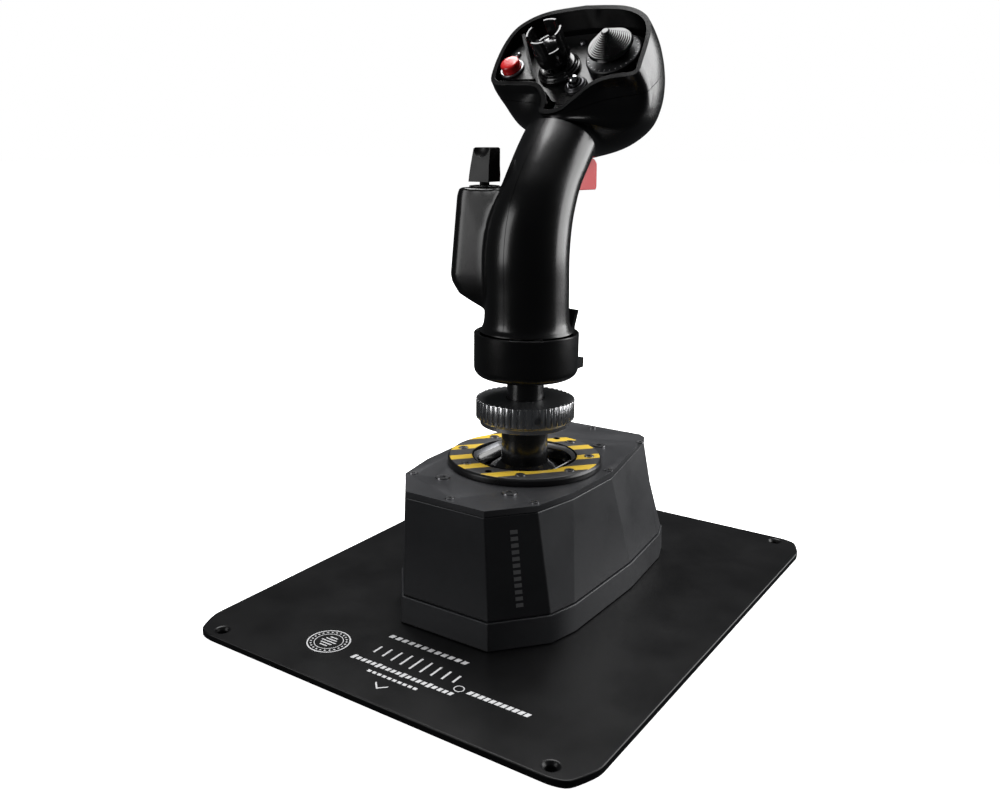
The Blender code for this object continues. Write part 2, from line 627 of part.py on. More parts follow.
def make_column():
    """The left and right grip shells, the left one with the thumb rest, open at the front for the trigger."""
    angle = math.radians(FAN[0][0])
    neck_normal = Vector((0, -math.sin(angle), math.cos(angle)))
    for side, word in ((1, "right"), (-1, "left")):
        mesh = loft_mesh(f"grip_{word}_shell", [column_loop(*section) for section in COLUMN])
        part = add_object(f"grip_{word}_shell", mesh, "grip_black")
        wall = part.modifiers.new("wall", "SOLIDIFY")
        wall.thickness = GRIP_WALL
        wall.offset = -1.0
        cut(part, beyond_mesh(HINGE - neck_normal * GAP, neck_normal))
        cut(part, beyond_mesh(Vector((side * GAP / 2, 0, 0)), Vector((-side, 0, 0))))
        if side < 0:
            cut(part, rest_mesh(), "UNION")
        cut(part, trigger_slot_mesh(275 * MM))
        if side < 0:
            centre = SELECT_PIVOT + Vector((0, 0, 6 * MM))
            cut(part, rod_mesh("select_well", centre, (0, 0, 1), 5.5 * MM, 24 * MM, 20))
    route = [(0, -6, 150), (0, -8, 188), (0, -5, 212), (1, 3, 232), (1, 10, 244)]
    wire_tube("wire_tube", [Vector(point) * MM for point in route], 3.2 * MM)


def wire_tube(name, route, radius):
    """A tube along a route."""
    curve = bpy.data.curves.new(name, "CURVE")
    curve.dimensions = "3D"
    curve.bevel_depth = radius
    curve.bevel_resolution = 2
    curve.use_fill_caps = True
    spline = curve.splines.new("POLY")
    spline.points.add(len(route) - 1)
    for point, place in zip(spline.points, route):
        point.co = (*place, 1.0)
    part = bpy.data.objects.new(name, curve)
    part.data.materials.append(finish_material("steel"))
    PARTS.objects.link(part)
    return part


def rest_mesh():
    """The thumb rest: a rounded block that grows out of the left side of the column."""
    heights = [(REST_BOTTOM - 4, 24.0), (REST_BOTTOM + 1, 13.0), (REST_BOTTOM + 6, 4.5),
               (REST_BOTTOM + 12, 0.8), (REST_BOTTOM + 16, 0.0), (REST_TOP - 4, 3.6), (REST_TOP - 0.8, 4.6),
               (REST_TOP, 6.0)]
    inner_x = -12.0
    count = 5
    loops = []
    for height, shrink in heights:
        left = REST_LEFT + shrink
        radius = min(REST_ROUND, (inner_x - left) / 2)
        loop = [(inner_x, REST_BACK + 3 + 0.25 * shrink), ]
        for index in range(count):
            angle = math.radians(270 - 90 * index / (count - 1))
            loop.append((left + radius + radius * math.cos(angle),
                         REST_BACK + 0.25 * shrink + radius + radius * math.sin(angle)))
        for index in range(count):
            angle = math.radians(180 - 90 * index / (count - 1))
            loop.append((left + radius + radius * math.cos(angle),
                         REST_FRONT - 0.25 * shrink - radius + radius * math.sin(angle)))
        loop.append((inner_x, REST_FRONT - 0.25 * shrink))
        loops.append([(x * MM, y * MM, height * MM) for x, y in loop])
    return loft_mesh("thumb_rest", loops, caps=True)


def resample(path, count):
    """Even steps along a smooth path through its points."""
    dense = []
    padded = [path[0]] + path + [path[-1]]
    for p0, p1, p2, p3 in zip(padded, padded[1:], padded[2:], padded[3:]):
        for index in range(12):
            t = index / 12
            dense.append(tuple(0.5 * (2 * b + (c - a) * t + (2 * a - 5 * b + 4 * c - d) * t * t
                                      + (3 * b - a - 3 * c + d) * t ** 3)
                               for a, b, c, d in zip(p0, p1, p2, p3)))
    dense.append(path[-1])
    lengths = [0.0]
    for start, end in zip(dense, dense[1:]):
        lengths.append(lengths[-1] + math.dist(start, end))
    points = []
    place = 0
    for index in range(count):
        target = lengths[-1] * index / count
        while lengths[place + 1] < target:
            place += 1
        share = (target - lengths[place]) / max(lengths[place + 1] - lengths[place], 1e-9)
        points.append(tuple(a + (b - a) * share for a, b in zip(dense[place], dense[place + 1])))
    return points


def fan_size(angle):
    """Length, half width and sideways shift of the head's outline at an angle of the fan."""
    for before, after in zip(FAN, FAN[1:]):
        if angle <= after[0] or after is FAN[-1]:
            share = (angle - before[0]) / (after[0] - before[0])
            return [start + (end - start) * share for start, end in zip(before[1:], after[1:])]
    return FAN[-1][1:]


def head_outline(angle, inset=0.0):
    """The head's outline at an angle of the fan, in millimetres along u and v, drawn in by an inset."""
    length, half_width, sideways = fan_size(angle)
    half = HEAD_POINTS // 2
    right = resample(SHIELD_RIGHT, half)
    left = resample(list(reversed(SHIELD_LEFT)), half)
    shield = right + left
    share = min(max((angle - FAN[0][0]) / (40.0 - FAN[0][0]), 0.0), 1.0) ** 1.5
    points = []
    for index, (su, sv) in enumerate(shield):
        turn = -math.pi / 2 + 2 * math.pi * index / HEAD_POINTS
        eu = math.cos(turn)
        ev = 0.5 + 0.5 * math.sin(turn)
        u = sideways + (eu + (su - eu) * share) * half_width
        v = FAN_START + (ev + (sv - ev) * share) * (length - FAN_START)
        points.append(Vector((u, v)))
    if not inset:
        return points
    drawn = []
    for index, point in enumerate(points):
        along = points[(index + 1) % HEAD_POINTS] - points[index - 1]
        drawn.append(point + Vector((-along.y, along.x)).normalized() * inset)
    return drawn


def fan_loop(angle, inset=0.0, shift=0.0):
    """A head outline stood up at its angle of the fan."""
    turn = math.radians(angle)
    normal = Vector((0, -math.sin(turn), math.cos(turn)))
    ahead = Vector((0, math.cos(turn), math.sin(turn)))
    return [HINGE + normal * shift + (Vector((1, 0, 0)) * p.x + ahead * p.y) * MM
            for p in head_outline(angle, inset)]


def head_shell(name, angles, shift):
    """A shell between two angles of the fan, with outer and inner walls."""
    outer = [fan_loop(angle, 0.0, shift) for angle in angles]
    inner = [fan_loop(angle, HEAD_WALL, shift) for angle in reversed(angles)]
    return add_object(name, loft_mesh(name, outer + inner, closed=True), "grip_black")


def make_head():
    """The head: cover and bezel shells, the sloping switch panel, and the pocket on its left."""
    cover = head_shell("head_cover", [-45, -36, -27.5, -17, -6, 6.7, 17.6, SEAM_ANGLE], 0.0)
    cut(cover, trigger_slot_mesh(248.5 * MM))
    head_shell("head_bezel", [SEAM_ANGLE, 35.2, 45, 55], GAP)
    outline = [(p.x, p.y) for p in head_outline(45.0, HEAD_WALL + 1.8) if p.y > 9.0]
    outline = [(x * MM, (y - 0.4) * MM) for x, y in outline]
    holes = [(CASTLE[0] * MM, CASTLE[1] * MM, 4.6 * MM), (TRIM[0] * MM, TRIM[1] * MM, 4.6 * MM),
             (EVENT[0] * MM, EVENT[1] * MM, 3.4 * MM), (SCREW_PANEL[0] * MM, SCREW_PANEL[1] * MM, 1.4 * MM)]
    panel = flat_mesh("switch_panel", outline, (PANEL_TOP_N - PANEL_THICKNESS) * MM, PANEL_TOP_N * MM, holes)
    add_object("switch_panel", on_panel(panel, (0, 0)), "gloss_black", smooth=False)
    shelf = [(-18.0, 24.8), (-27.5, 25.0), (-36.8, 25.9), (-40.6, 30.0), (-41.4, 38), (-40.2, 47),
             (-36.6, 54.6)]
    holes = [(RED[0] * MM, RED[1] * MM, 5.5 * MM), (SCREW_SHELF[0] * MM, SCREW_SHELF[1] * MM, 1.4 * MM)]
    shelf = [(x * MM, y * MM) for x, y in shelf]
    shelf = flat_mesh("side_pocket", shelf, (SHELF_N - 2.5) * MM, SHELF_N * MM, holes)
    pocket = add_object("side_pocket", on_panel(shelf, (0, 0)), "gloss_black", smooth=False)
    cut(pocket, divider_mesh(), "UNION")
    board = box_mesh("grip_circuit_board", (-18 * MM, 26 * MM, -17.6 * MM), (22 * MM, 52 * MM, -16 * MM))
    add_object("grip_circuit_board", on_panel(board, (0, 0)), "board_green", smooth=False)


def divider_mesh():
    """The thin wall between the pocket and the two hats."""
    start = Vector((-17.6, 25.0))
    end = Vector((-34.4, 54.0))
    across = Vector((-(end - start).y, (end - start).x)).normalized() * 0.8
    loops = []
    for place, top in ((start, 3.4), (end, 9.4)):
        inner = place - across
        outer = place + across
        bottom = PANEL_TOP_N + 0.3
        loops.append([panel_point(inner.x, inner.y, bottom), panel_point(outer.x, outer.y, bottom),
                      panel_point(outer.x, outer.y, top), panel_point(inner.x, inner.y, top)])
    return loft_mesh("divider", loops, caps=True)


def panel_turned(name, profile, finish, place, steps=24):
    """A turned piece that stands on the switch panel."""
    mesh = turned_mesh(name, scaled(profile), (0, 0, 0), steps=steps)
    return add_object(name, on_panel(mesh, place), finish)


def make_panel_controls():
    """The castle hat, the ridged trim hat, the event button, the red button and their bezels."""
    floor = PANEL_TOP_N + 0.3
    rings = [(7.4, 1.5), (9.6, 1.5), (10.2, -0.4), (11.8, -0.8), (11.8, floor), (5.2, floor), (5.2, -0.6)]
    panel_turned("castle_base_ring", rings, "gloss_black", CASTLE)
    cup = [(0, 16.8), (5.0, 16.0), (7.0, 14.3), (9.0, 14.3), (9.0, 6.0), (7.6, 3.8), (3.0, 3.4), (3.0, -6.4),
           (0, -6.4)]
    castle = panel_turned("castle_hat", cup, "gloss_black", CASTLE)
    for quarter in range(4):
        angle = math.pi / 2 * quarter
        low = (6.6 * MM, -3.3 * MM, 13.5 * MM)
        high = (9.4 * MM, 3.3 * MM, 23.0 * MM)
        prong = box_mesh("prong", low, high)
        prong.transform(Matrix.Rotation(angle, 4, "Z"))
        cut(castle, on_panel(prong, CASTLE), "UNION")
    dial = [(8.0, 3.0), (14.2, 3.0), (14.8, 2.4), (14.8, floor), (5.2, floor), (5.2, 1.0)]
    panel_turned("trim_dial", dial, "dial_grey", TRIM, 28)
    cone = [(0, 17.0), (1.9, 16.8), (2.5, 15.6), (11.6, 8.2), (12.0, 7.4), (11.0, 6.5), (2.5, 6.1),
            (2.5, -6.4), (0, -6.4)]
    panel_turned("trim_hat", cone, "grip_black", TRIM, 28)
    pivot = [(0, 2.0), (1.4, 1.4), (2.0, 0), (1.4, -1.4), (0, -2.0)]
    for word, place in (("castle", CASTLE), ("trim", TRIM)):
        mesh = turned_mesh("pivot", scaled(pivot), (0, 0, HAT_PIVOT_N * MM), steps=12)
        add_object(f"{word}_pivot", on_panel(mesh, place), "steel")
    bezel = [(3.6, 0.0), (5.2, 0.0), (6.2, -1.2), (6.2, floor), (3.6, floor)]
    panel_turned("event_bezel", bezel, "steel", EVENT, 20)
    button = [(0, 4.2), (1.6, 3.9), (2.6, 3.0), (2.9, 1.8), (2.9, -8.0), (0, -8.0)]
    panel_turned("event_button", button, "silver", EVENT, 20)
    rim = SHELF_N + 0.3
    bezel = [(5.6, rim + 1.1), (6.5, rim + 1.1), (6.8, rim + 0.5), (6.8, rim), (5.6, rim)]
    panel_turned("red_button_bezel", bezel, "steel", RED, 20)
    button = [(0, 9.4), (4.4, 9.2), (5.2, 8.4), (5.2, 2.2), (0, 2.2)]
    panel_turned("red_button", button, "red", RED, 20)
    for name, place, base in (("panel_screw", SCREW_PANEL, floor), ("pocket_screw", SCREW_SHELF, rim)):
        panel_turned(name, [(0, base + 1.2), (1.4, base + 0.9), (2.0, base + 0.2), (2.0, base), (1.1, base),
                            (1.1, base - 4), (0, base - 4)], "steel", place, 16)


def make_trigger():
    """The trigger under the head and its pin."""
    pin = TRIGGER_PIN
    outline = [(22.9, 243), (24.0, 246.0), (27, 246.8), (31, 245.2), (38, 241), (46.0, 237.6), (53.4, 235.6),
               (56.0, 233.4), (56.4, 221), (55.6, 219.4), (31.5, 219.8), (32.2, 223.5), (36.0, 228.0),
               (34.4, 233), (28, 238), (24, 240.5)]
    loops = []
    for side in (1, -1):
        loops.append([(pin.x + side * TRIGGER_HALF, y * MM, z * MM) for y, z in outline])
    trigger = add_object("trigger", loft_mesh("trigger", loops, caps=True), "red", smooth=False)
    cut(trigger, rod_mesh("bore", pin, (1, 0, 0), 1.8 * MM, 20 * MM, 16))
    turned("trigger_pin", scaled([(0, 13), (1.45, 13), (1.45, -13), (0, -13)]), "steel", pin, (1, 0, 0), 14)


def make_select_lever():
    """The select lever on top of the thumb rest, with its washer and its hidden pivot."""
    pivot = SELECT_PIVOT
    washer = scaled([(5.8, 0.9), (7.8, 0.9), (8.1, 0.5), (8.1, 0.3), (5.8, 0.3)])
    turned("select_washer", washer, "gloss_black", (pivot.x, pivot.y, REST_TOP * MM), steps=24)
    sections = [(5.8, -6.4, 6.0, -5.6, 5.6), (9.0, -6.0, 6.2, -5.6, 5.6), (14.0, -5.4, 6.0, -5.2, 5.4),
                (22.6, -4.2, 6.2, -4.2, 5.0), (23.2, -3.4, 5.6, -3.6, 4.4)]
    loops = []
    for height, left, right, back, front in sections:
        corners = [(left, back), (right, back), (right, front), (left, front)]
        z = pivot.z + (height + 3.0) * MM
        loops.append([(pivot.x + x * MM, pivot.y + y * MM, z) for x, y in corners])
    block = loft_mesh("select_lever", loops, caps=True)
    lever = add_object("select_lever", block, "gloss_black", smooth=False)
    stem_length = 6.6 * MM
    centre = pivot + Vector((0, 0, 2.4 * MM + stem_length / 2))
    cut(lever, rod_mesh("stem", centre, (0, 0, 1), 2.6 * MM, stem_length, 16), "UNION")
    ball = scaled([(0, 2.0), (1.4, 1.4), (2.0, 0), (1.4, -1.4), (0, -2.0)])
    turned("select_pivot", ball, "steel", pivot, steps=12)


make_plate()
make_housing()
make_chassis()
make_lid_screws()
make_ring_and_gate()
make_electronics()
make_gimbal()
make_shaft()
make_collar()
make_column()
make_head()
make_panel_controls()
make_trigger()
make_select_lever()
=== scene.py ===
import math

import bmesh
import bpy
from mathutils import Matrix, Vector


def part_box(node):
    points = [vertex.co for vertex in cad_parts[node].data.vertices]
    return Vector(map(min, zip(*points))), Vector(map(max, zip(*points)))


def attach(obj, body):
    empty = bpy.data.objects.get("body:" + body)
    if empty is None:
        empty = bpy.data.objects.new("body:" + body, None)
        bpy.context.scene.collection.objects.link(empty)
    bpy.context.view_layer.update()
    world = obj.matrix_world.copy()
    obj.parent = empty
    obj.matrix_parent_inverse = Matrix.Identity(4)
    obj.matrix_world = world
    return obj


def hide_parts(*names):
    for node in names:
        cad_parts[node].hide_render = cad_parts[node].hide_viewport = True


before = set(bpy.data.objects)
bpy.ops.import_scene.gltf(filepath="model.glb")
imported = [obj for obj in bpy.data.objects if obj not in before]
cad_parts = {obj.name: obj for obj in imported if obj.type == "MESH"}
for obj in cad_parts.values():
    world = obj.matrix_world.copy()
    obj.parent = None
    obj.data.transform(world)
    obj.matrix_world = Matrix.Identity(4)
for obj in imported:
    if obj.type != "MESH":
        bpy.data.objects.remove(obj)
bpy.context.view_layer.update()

# Flight joystick: the finished surfaces of the desk plate, the gimbal base and the hand grip.
# Metres, +Z up, in the same place as the frame's parts. Tables of shapes are in millimetres.

MM = 0.001
GAP = 0.3 * MM

# Base
PLATE_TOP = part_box("desk_plate")[1].z
LID_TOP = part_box("lid_plate")[1].z
RING_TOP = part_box("striped_ring")[1].z
AXIS_Y = -4.5 * MM
AXIS = Vector((0.0, AXIS_Y, 0.0))
PIVOT = Vector((0.0, AXIS_Y, 52.0 * MM))
HOUSING_FOOT = [(26.0, -77.9), (46.2, -53.0), (50.0, -35.7), (51.2, 25.0), (46.7, 71.5), (42.0, 85.7)]
LID_OUTLINE = [(23.5, -78.2), (40.3, -57.2), (45.4, -31.4), (46.8, 7.0), (33.8, 74.8), (29.2, 78.1)]
LARGE_SCREWS = [(20.3, -51.2), (20.3, 43.7)]
SMALL_SCREWS = [(37.0, -54.5), (44.2, 8.7), (36.3, 63.8)]
MIDDLE_SCREWS = [(0.0, -73.3), (0.0, 73.9)]
RING_OUTER = 41.4 * MM
RING_INNER = 28.3 * MM
RING_SCREW_RADIUS = 34.7 * MM
RING_SCREW_ANGLES = [73.5, 29.0, -16.5, -61.5]
GATE_HALF = 21.8 * MM
GATE_CORNER = 12.0 * MM
DOME_OUTER, DOME_INNER = 29.0, 27.4
SHAFT_RADIUS = 12.4
NECK_RADIUS = 9.8

# Locking ring and collar
NUT_RADIUS = 26.25 * MM
LAND_COUNT = 46
LAND_DEPTH = 3.0 * MM
NUT_BOTTOM = 99.0 * MM
NUT_TOP = 113.1 * MM
COLLAR_RADIUS = 27.5
COLLAR_BOTTOM = 125.0
COLLAR_TOP = 148.7

# Grip column: level sections as (height, centre x, centre y, half width, half depth)
COLUMN = [
    (144.0, 0.0, -4.5, 24.9, 24.9), (149.2, 0.0, -4.5, 24.9, 24.9), (150.6, 0.0, -4.5, 23.6, 23.4),
    (153.5, 0.0, -4.5, 22.4, 22.2), (170.0, 0.0, -4.8, 22.0, 21.9), (188.0, 0.2, -5.6, 21.9, 21.8),
    (203.0, 0.6, -3.9, 21.4, 21.8), (214.0, 1.4, -0.6, 20.6, 21.7), (224.0, 2.2, 4.4, 19.8, 21.6),
    (234.0, 2.2, 12.4, 19.9, 22.2), (244.0, 1.8, 21.5, 20.0, 22.8), (256.0, 1.2, 33.0, 19.6, 23.0),
    (268.0, 1.2, 44.0, 19.6, 23.0), (280.0, 1.2, 55.0, 19.6, 23.0),
]
GRIP_WALL = 2.4
REST_LEFT = -43.0
REST_BACK = -18.0
REST_FRONT = 8.0
REST_ROUND = 8.0
REST_TOP = 222.0
REST_BOTTOM = 161.0
BLEND_GRAIN = 0.75 * MM
ROOT_X, ROOT_REACH = -22.5, 9.0

# Head: outlines fan out from a hinge line across the back of the neck, each as
# (angle, length, half width, sideways shift), in degrees and millimetres
HINGE = Vector((0.6, 10.9, 256.7)) * MM
FAN = [(-45.0, 35.0, 18.8, 0.0), (-36.0, 37.0, 19.2, 0.3), (-27.5, 44.5, 21.0, 1.2), (-17.0, 56.0, 28.6, 3.6),
       (-6.0, 64.0, 36.3, 3.0), (6.7, 69.5, 41.0, 1.4), (17.6, 71.3, 43.3, 0.4), (27.5, 71.8, 44.6, -0.6),
       (35.2, 71.2, 44.9, -0.9), (45.0, 70.8, 44.6, -1.0), (55.0, 70.6, 44.0, -1.0)]
FAN_START = 2.4
SEAM_ANGLE = 27.0
HEAD_POINTS = 144
HEAD_WALL = 2.5
SHIELD_RIGHT = [(0.0, 0.0), (0.16, 0.025), (0.27, 0.10), (0.47, 0.245), (0.68, 0.30), (0.97, 0.33),
                (1.0, 0.46), (0.97, 0.72), (0.83, 0.87), (0.52, 0.965), (0.0, 1.0)]
SHIELD_LEFT = [(0.0, 0.0), (-0.12, 0.025), (-0.13, 0.12), (-0.30, 0.25), (-0.62, 0.275), (-0.93, 0.30),
               (-1.0, 0.46), (-0.97, 0.70), (-0.84, 0.86), (-0.52, 0.965), (0.0, 1.0)]

# Places on the sloping switch panel: u to the right, v up the slope, n out of it
PANEL_N = -3.0
SHELF_N = 3.8
CASTLE = (-9.6, 38.2)
TRIM = (21.8, 42.8)
EVENT = (5.8, 25.0)
RED = (-33.6, 32.4)
SCREW_PANEL = (-3.7, 58.6)
SCREW_SHELF = (-35.4, 43.8)
PANEL_TURN = Matrix.Rotation(math.radians(45.0), 4, "X")
SELECT_PIVOT = Vector((-27.6, -3.5, 216.0)) * MM
SLOT_LOW = (-6.2 * MM, 14 * MM, 214 * MM)
SLOT_HIGH = (7.4 * MM, 70 * MM, 275 * MM)
COVER_SLOT_HIGH = (7.4 * MM, 70 * MM, 248.5 * MM)


# ---------- camera and studio ----------

def aim(thing, place, target):
    """Puts a camera or light at a place, pointing at a target."""
    thing.location = place
    thing.rotation_euler = (Vector(target) - Vector(place)).to_track_quat("-Z", "Y").to_euler()


def make_camera():
    """The viewing camera: slightly above the grip, to the front right of the base."""
    data = bpy.data.cameras.new("camera")
    camera = bpy.data.objects.new("camera", data)
    bpy.context.scene.collection.objects.link(camera)
    place = Vector((0.2616, -0.4333, 0.2448))
    turn = -0.616
    tilt = 0.2487
    ahead = Vector((math.sin(turn) * math.cos(tilt), math.cos(turn) * math.cos(tilt), -math.sin(tilt)))
    aim(camera, place, place + ahead)
    data.lens = 35.01
    data.sensor_width = 36.0
    data.shift_x = 0.039
    data.shift_y = -0.011
    data.clip_start = 0.01
    bpy.context.scene.camera = camera


def softbox(name, place, target, width, height, power):
    """A rectangular soft light."""
    data = bpy.data.lights.new(name, "AREA")
    data.shape = "RECTANGLE"
    data.size = width
    data.size_y = height
    data.energy = power
    light = bpy.data.objects.new(name, data)
    bpy.context.scene.collection.objects.link(light)
    aim(light, place, target)


def make_studio():
    """A white floor and surround, a softbox on each side and one above."""
    size = 12.0
    corners = [(-size, -size, 0), (size, -size, 0), (size, size, 0), (-size, size, 0)]
    floor = piece("floor", loft("floor", [corners], caps=True), STAGE)
    floor.visible_diffuse = False
    floor.visible_glossy = False
    world = bpy.data.worlds.new("studio")
    bpy.context.scene.world = world
    world.use_nodes = True
    nodes = world.node_tree.nodes
    links = world.node_tree.links
    path = nodes.new("ShaderNodeLightPath")
    seen = nodes.new("ShaderNodeBackground")
    fill(seen, {"Color": (1.0, 1.0, 1.0, 1.0), "Strength": 1.0})
    around = nodes["Background"]
    fill(around, {"Color": (0.9, 0.95, 1.0, 1.0), "Strength": 0.03})
    mix = nodes.new("ShaderNodeMixShader")
    wire(links, path, "Is Camera Ray", mix, "Fac")
    links.new(around.outputs["Background"], mix.inputs[1])
    links.new(seen.outputs["Background"], mix.inputs[2])
    links.new(mix.outputs["Shader"], nodes["World Output"].inputs["Surface"])
    bpy.context.scene.view_settings.view_transform = "Standard"
    middle = (0.0, 0.0, 0.16)
    softbox("right_box", (0.75, 0.80, 0.50), middle, 0.9, 1.0, 16.0)
    softbox("left_box", (-0.57, -0.82, 0.40), middle, 0.45, 0.7, 3.5)
    softbox("top_box", (-0.25, 0.35, 1.30), (0.0, 0.0, 0.1), 0.9, 0.9, 24.0)


# ---------- finishes ----------

def wire(links, source, output, target, field):
    """Links a node's output to another node's input."""
    links.new(source.outputs[output], target.inputs[field])


def fill(node, values):
    """Sets a node's own inputs by name or number."""
    for field, value in values.items():
        node.inputs[field].default_value = value


def maths(tree, operation, source, factor):
    """A Math node on a socket and a number."""
    node = tree.nodes.new("ShaderNodeMath")
    node.operation = operation
    node.inputs[1].default_value = factor
    tree.links.new(source, node.inputs[0])
    return node.outputs["Value"]


def grain_node(nodes, links, coordinate, scale, detail, roughness):
    """A noise texture on a coordinate."""
    noise = nodes.new("ShaderNodeTexNoise")
    fill(noise, {"Scale": scale, "Detail": detail, "Roughness": roughness})
    links.new(coordinate, noise.inputs["Vector"])
    return noise


def spread(nodes, links, source, low, high, start=0.3, end=0.7):
    """Maps a part of a value's run to a range."""
    ranged = nodes.new("ShaderNodeMapRange")
    fill(ranged, {"From Min": start, "From Max": end, "To Min": low, "To Max": high})
    links.new(source, ranged.inputs["Value"])
    return ranged


def finish(name, colour, roughness, grain, bump, vary, metallic=0.0, coat=0.0, specular=0.5,
           stretch=(1.0, 1.0, 1.0)):
    """A moulded, painted or machined finish: fine grain, soft colour and gloss variation."""
    material = bpy.data.materials.new(name)
    material.use_nodes = True
    material.diffuse_color = (*colour, 1.0)
    nodes = material.node_tree.nodes
    links = material.node_tree.links
    shader = nodes["Principled BSDF"]
    fill(shader, {"Metallic": metallic, "Coat Weight": coat, "Coat Roughness": 0.12,
                  "Specular IOR Level": specular})
    place = nodes.new("ShaderNodeTexCoord")
    mapping = nodes.new("ShaderNodeMapping")
    mapping.inputs["Scale"].default_value = stretch
    wire(links, place, "Object", mapping, "Vector")
    fine = grain_node(nodes, links, mapping.outputs["Vector"], grain, 3.0, 0.6)
    broad = grain_node(nodes, links, place.outputs["Object"], 38.0, 4.0, 0.55)
    dark = nodes.new("ShaderNodeMix")
    dark.data_type = "RGBA"
    fill(dark, {"A": (*(channel * (1.0 - vary) for channel in colour), 1.0),
                "B": (*(min(channel * (1.0 + vary), 1.0) for channel in colour), 1.0)})
    wire(links, broad, "Fac", dark, "Factor")
    wire(links, dark, "Result", shader, "Base Color")
    gloss = spread(nodes, links, broad.outputs["Fac"], roughness * 0.88, roughness * 1.14)
    wire(links, gloss, "Result", shader, "Roughness")
    relief = nodes.new("ShaderNodeBump")
    fill(relief, {"Strength": bump, "Distance": 0.2 * MM})
    wire(links, fine, "Fac", relief, "Height")
    wire(links, relief, "Normal", shader, "Normal")
    return material


def striped_finish():
    """Warning stripes: straight yellow bands on dark grey paint."""
    material = finish("warning_stripes", (0.05, 0.05, 0.052), 0.42, 2200, 0.08, 0.15)
    nodes = material.node_tree.nodes
    links = material.node_tree.links
    shader = nodes["Principled BSDF"]
    paint = shader.inputs["Base Color"].links[0].from_socket
    place = next(node for node in nodes if node.type == "TEX_COORD")
    angle = math.radians(49.5)
    across = nodes.new("ShaderNodeVectorMath")
    across.operation = "DOT_PRODUCT"
    period = 16.25 * MM
    across.inputs[1].default_value = (math.sin(angle) / period, -math.cos(angle) / period, 0.0)
    links.new(place.outputs["Object"], across.inputs[0])
    offset = (3.8 * MM + AXIS_Y * math.cos(angle)) / period + 10.0
    shift = maths(material.node_tree, "ADD", across.outputs["Value"], offset)
    waves = maths(material.node_tree, "PINGPONG", shift, 0.5)
    band = spread(nodes, links, waves, 1.0, 0.0, 0.205, 0.215)
    mix = nodes.new("ShaderNodeMix")
    mix.data_type = "RGBA"
    mix.inputs["B"].default_value = (0.84, 0.56, 0.045, 1.0)
    wire(links, band, "Result", mix, "Factor")
    links.new(paint, mix.inputs["A"])
    wire(links, mix, "Result", shader, "Base Color")
    return material


# Finishes: name, colour, roughness, size of the grain, depth of the grain and variation of the colour
STAGE = finish("floor_paint", (0.95, 0.95, 0.95), 0.9, 60, 0.0, 0.01, specular=0.1)
fill(STAGE.node_tree.nodes["Principled BSDF"],
     {"Emission Color": (1.0, 1.0, 1.0, 1.0), "Emission Strength": 1.0})
PLATE_BLACK = finish("plate_satin_black", (0.004, 0.004, 0.0043), 0.34, 2400, 0.05, 0.05, specular=0.25)
PRINT_GREY = finish("print_light_grey", (0.62, 0.62, 0.63), 0.55, 3000, 0.05, 0.12)
PRINT_DIM = finish("print_dim_grey", (0.16, 0.16, 0.165), 0.5, 3000, 0.05, 0.12)
RUBBER = finish("pad_rubber", (0.018, 0.018, 0.018), 0.8, 900, 0.35, 0.3)
HOUSING_GREY = finish("housing_anodised_grey", (0.03, 0.031, 0.034), 0.42, 2600, 0.16, 0.1, metallic=0.35)
LID_GREY = finish("lid_anodised_grey", (0.055, 0.056, 0.06), 0.4, 2600, 0.14, 0.08, metallic=0.5)
STRIPES = striped_finish()
RING_BLACK = finish("ring_edge_black", (0.012, 0.012, 0.013), 0.3, 2000, 0.06, 0.25, metallic=0.2)
GATE_GREY = finish("gate_chamfer_grey", (0.23, 0.235, 0.25), 0.36, 1800, 0.08, 0.12, metallic=0.7)
GLOSS_BLACK = finish("gloss_black", (0.009, 0.009, 0.0095), 0.2, 1500, 0.02, 0.2, coat=0.25)
GRIP_BLACK = finish("grip_satin_black", (0.0045, 0.0045, 0.0048), 0.24, 2600, 0.07, 0.2, coat=0.1)
HAT_BLACK = finish("ridged_hat_black", (0.006, 0.006, 0.0065), 0.16, 2600, 0.03, 0.15)
PANEL_BLACK = finish("panel_black", (0.003, 0.003, 0.0032), 0.3, 2600, 0.16, 0.2)
SILVER = finish("knurl_bright_metal", (0.6, 0.6, 0.61), 0.24, 1400, 0.35, 0.22, metallic=1.0,
                stretch=(1.0, 1.0, 0.12))
NUT_GREY = finish("nut_face_dark_grey", (0.045, 0.046, 0.049), 0.48, 2800, 0.2, 0.08, metallic=0.4)
STEEL = finish("screw_steel", (0.34, 0.34, 0.35), 0.3, 1500, 0.1, 0.2, metallic=1.0)
DARK_STEEL = finish("dark_steel", (0.1, 0.1, 0.105), 0.32, 1500, 0.1, 0.2, metallic=0.9)
CHROME = finish("event_button_chrome", (0.55, 0.55, 0.56), 0.1, 900, 0.02, 0.1, metallic=1.0)
RED_GLOSS = finish("red_button_plastic", (0.72, 0.018, 0.02), 0.22, 1400, 0.04, 0.12, coat=0.3)
TRIGGER_RED = finish("trigger_plastic", (0.62, 0.012, 0.02), 0.45, 1800, 0.06, 0.1, specular=0.3)
DIAL_GREY = finish("dial_satin_grey", (0.035, 0.036, 0.038), 0.42, 2200, 0.1, 0.12, metallic=0.3)
BOARD_GREEN = finish("circuit_board_green", (0.012, 0.11, 0.045), 0.45, 700, 0.2, 0.35)
HOLE_BLACK = finish("hole_black", (0.003, 0.003, 0.003), 0.7, 900, 0.02, 0.1)


# ---------- mesh making ----------

def bare_mesh(name, shape):
    """A mesh from a bmesh, with doubles merged and faces pointing out."""
    bmesh.ops.remove_doubles(shape, verts=shape.verts, dist=1e-7)
    bmesh.ops.recalc_face_normals(shape, faces=shape.faces)
    mesh = bpy.data.meshes.new(name)
    shape.to_mesh(mesh)
    shape.free()
    return mesh


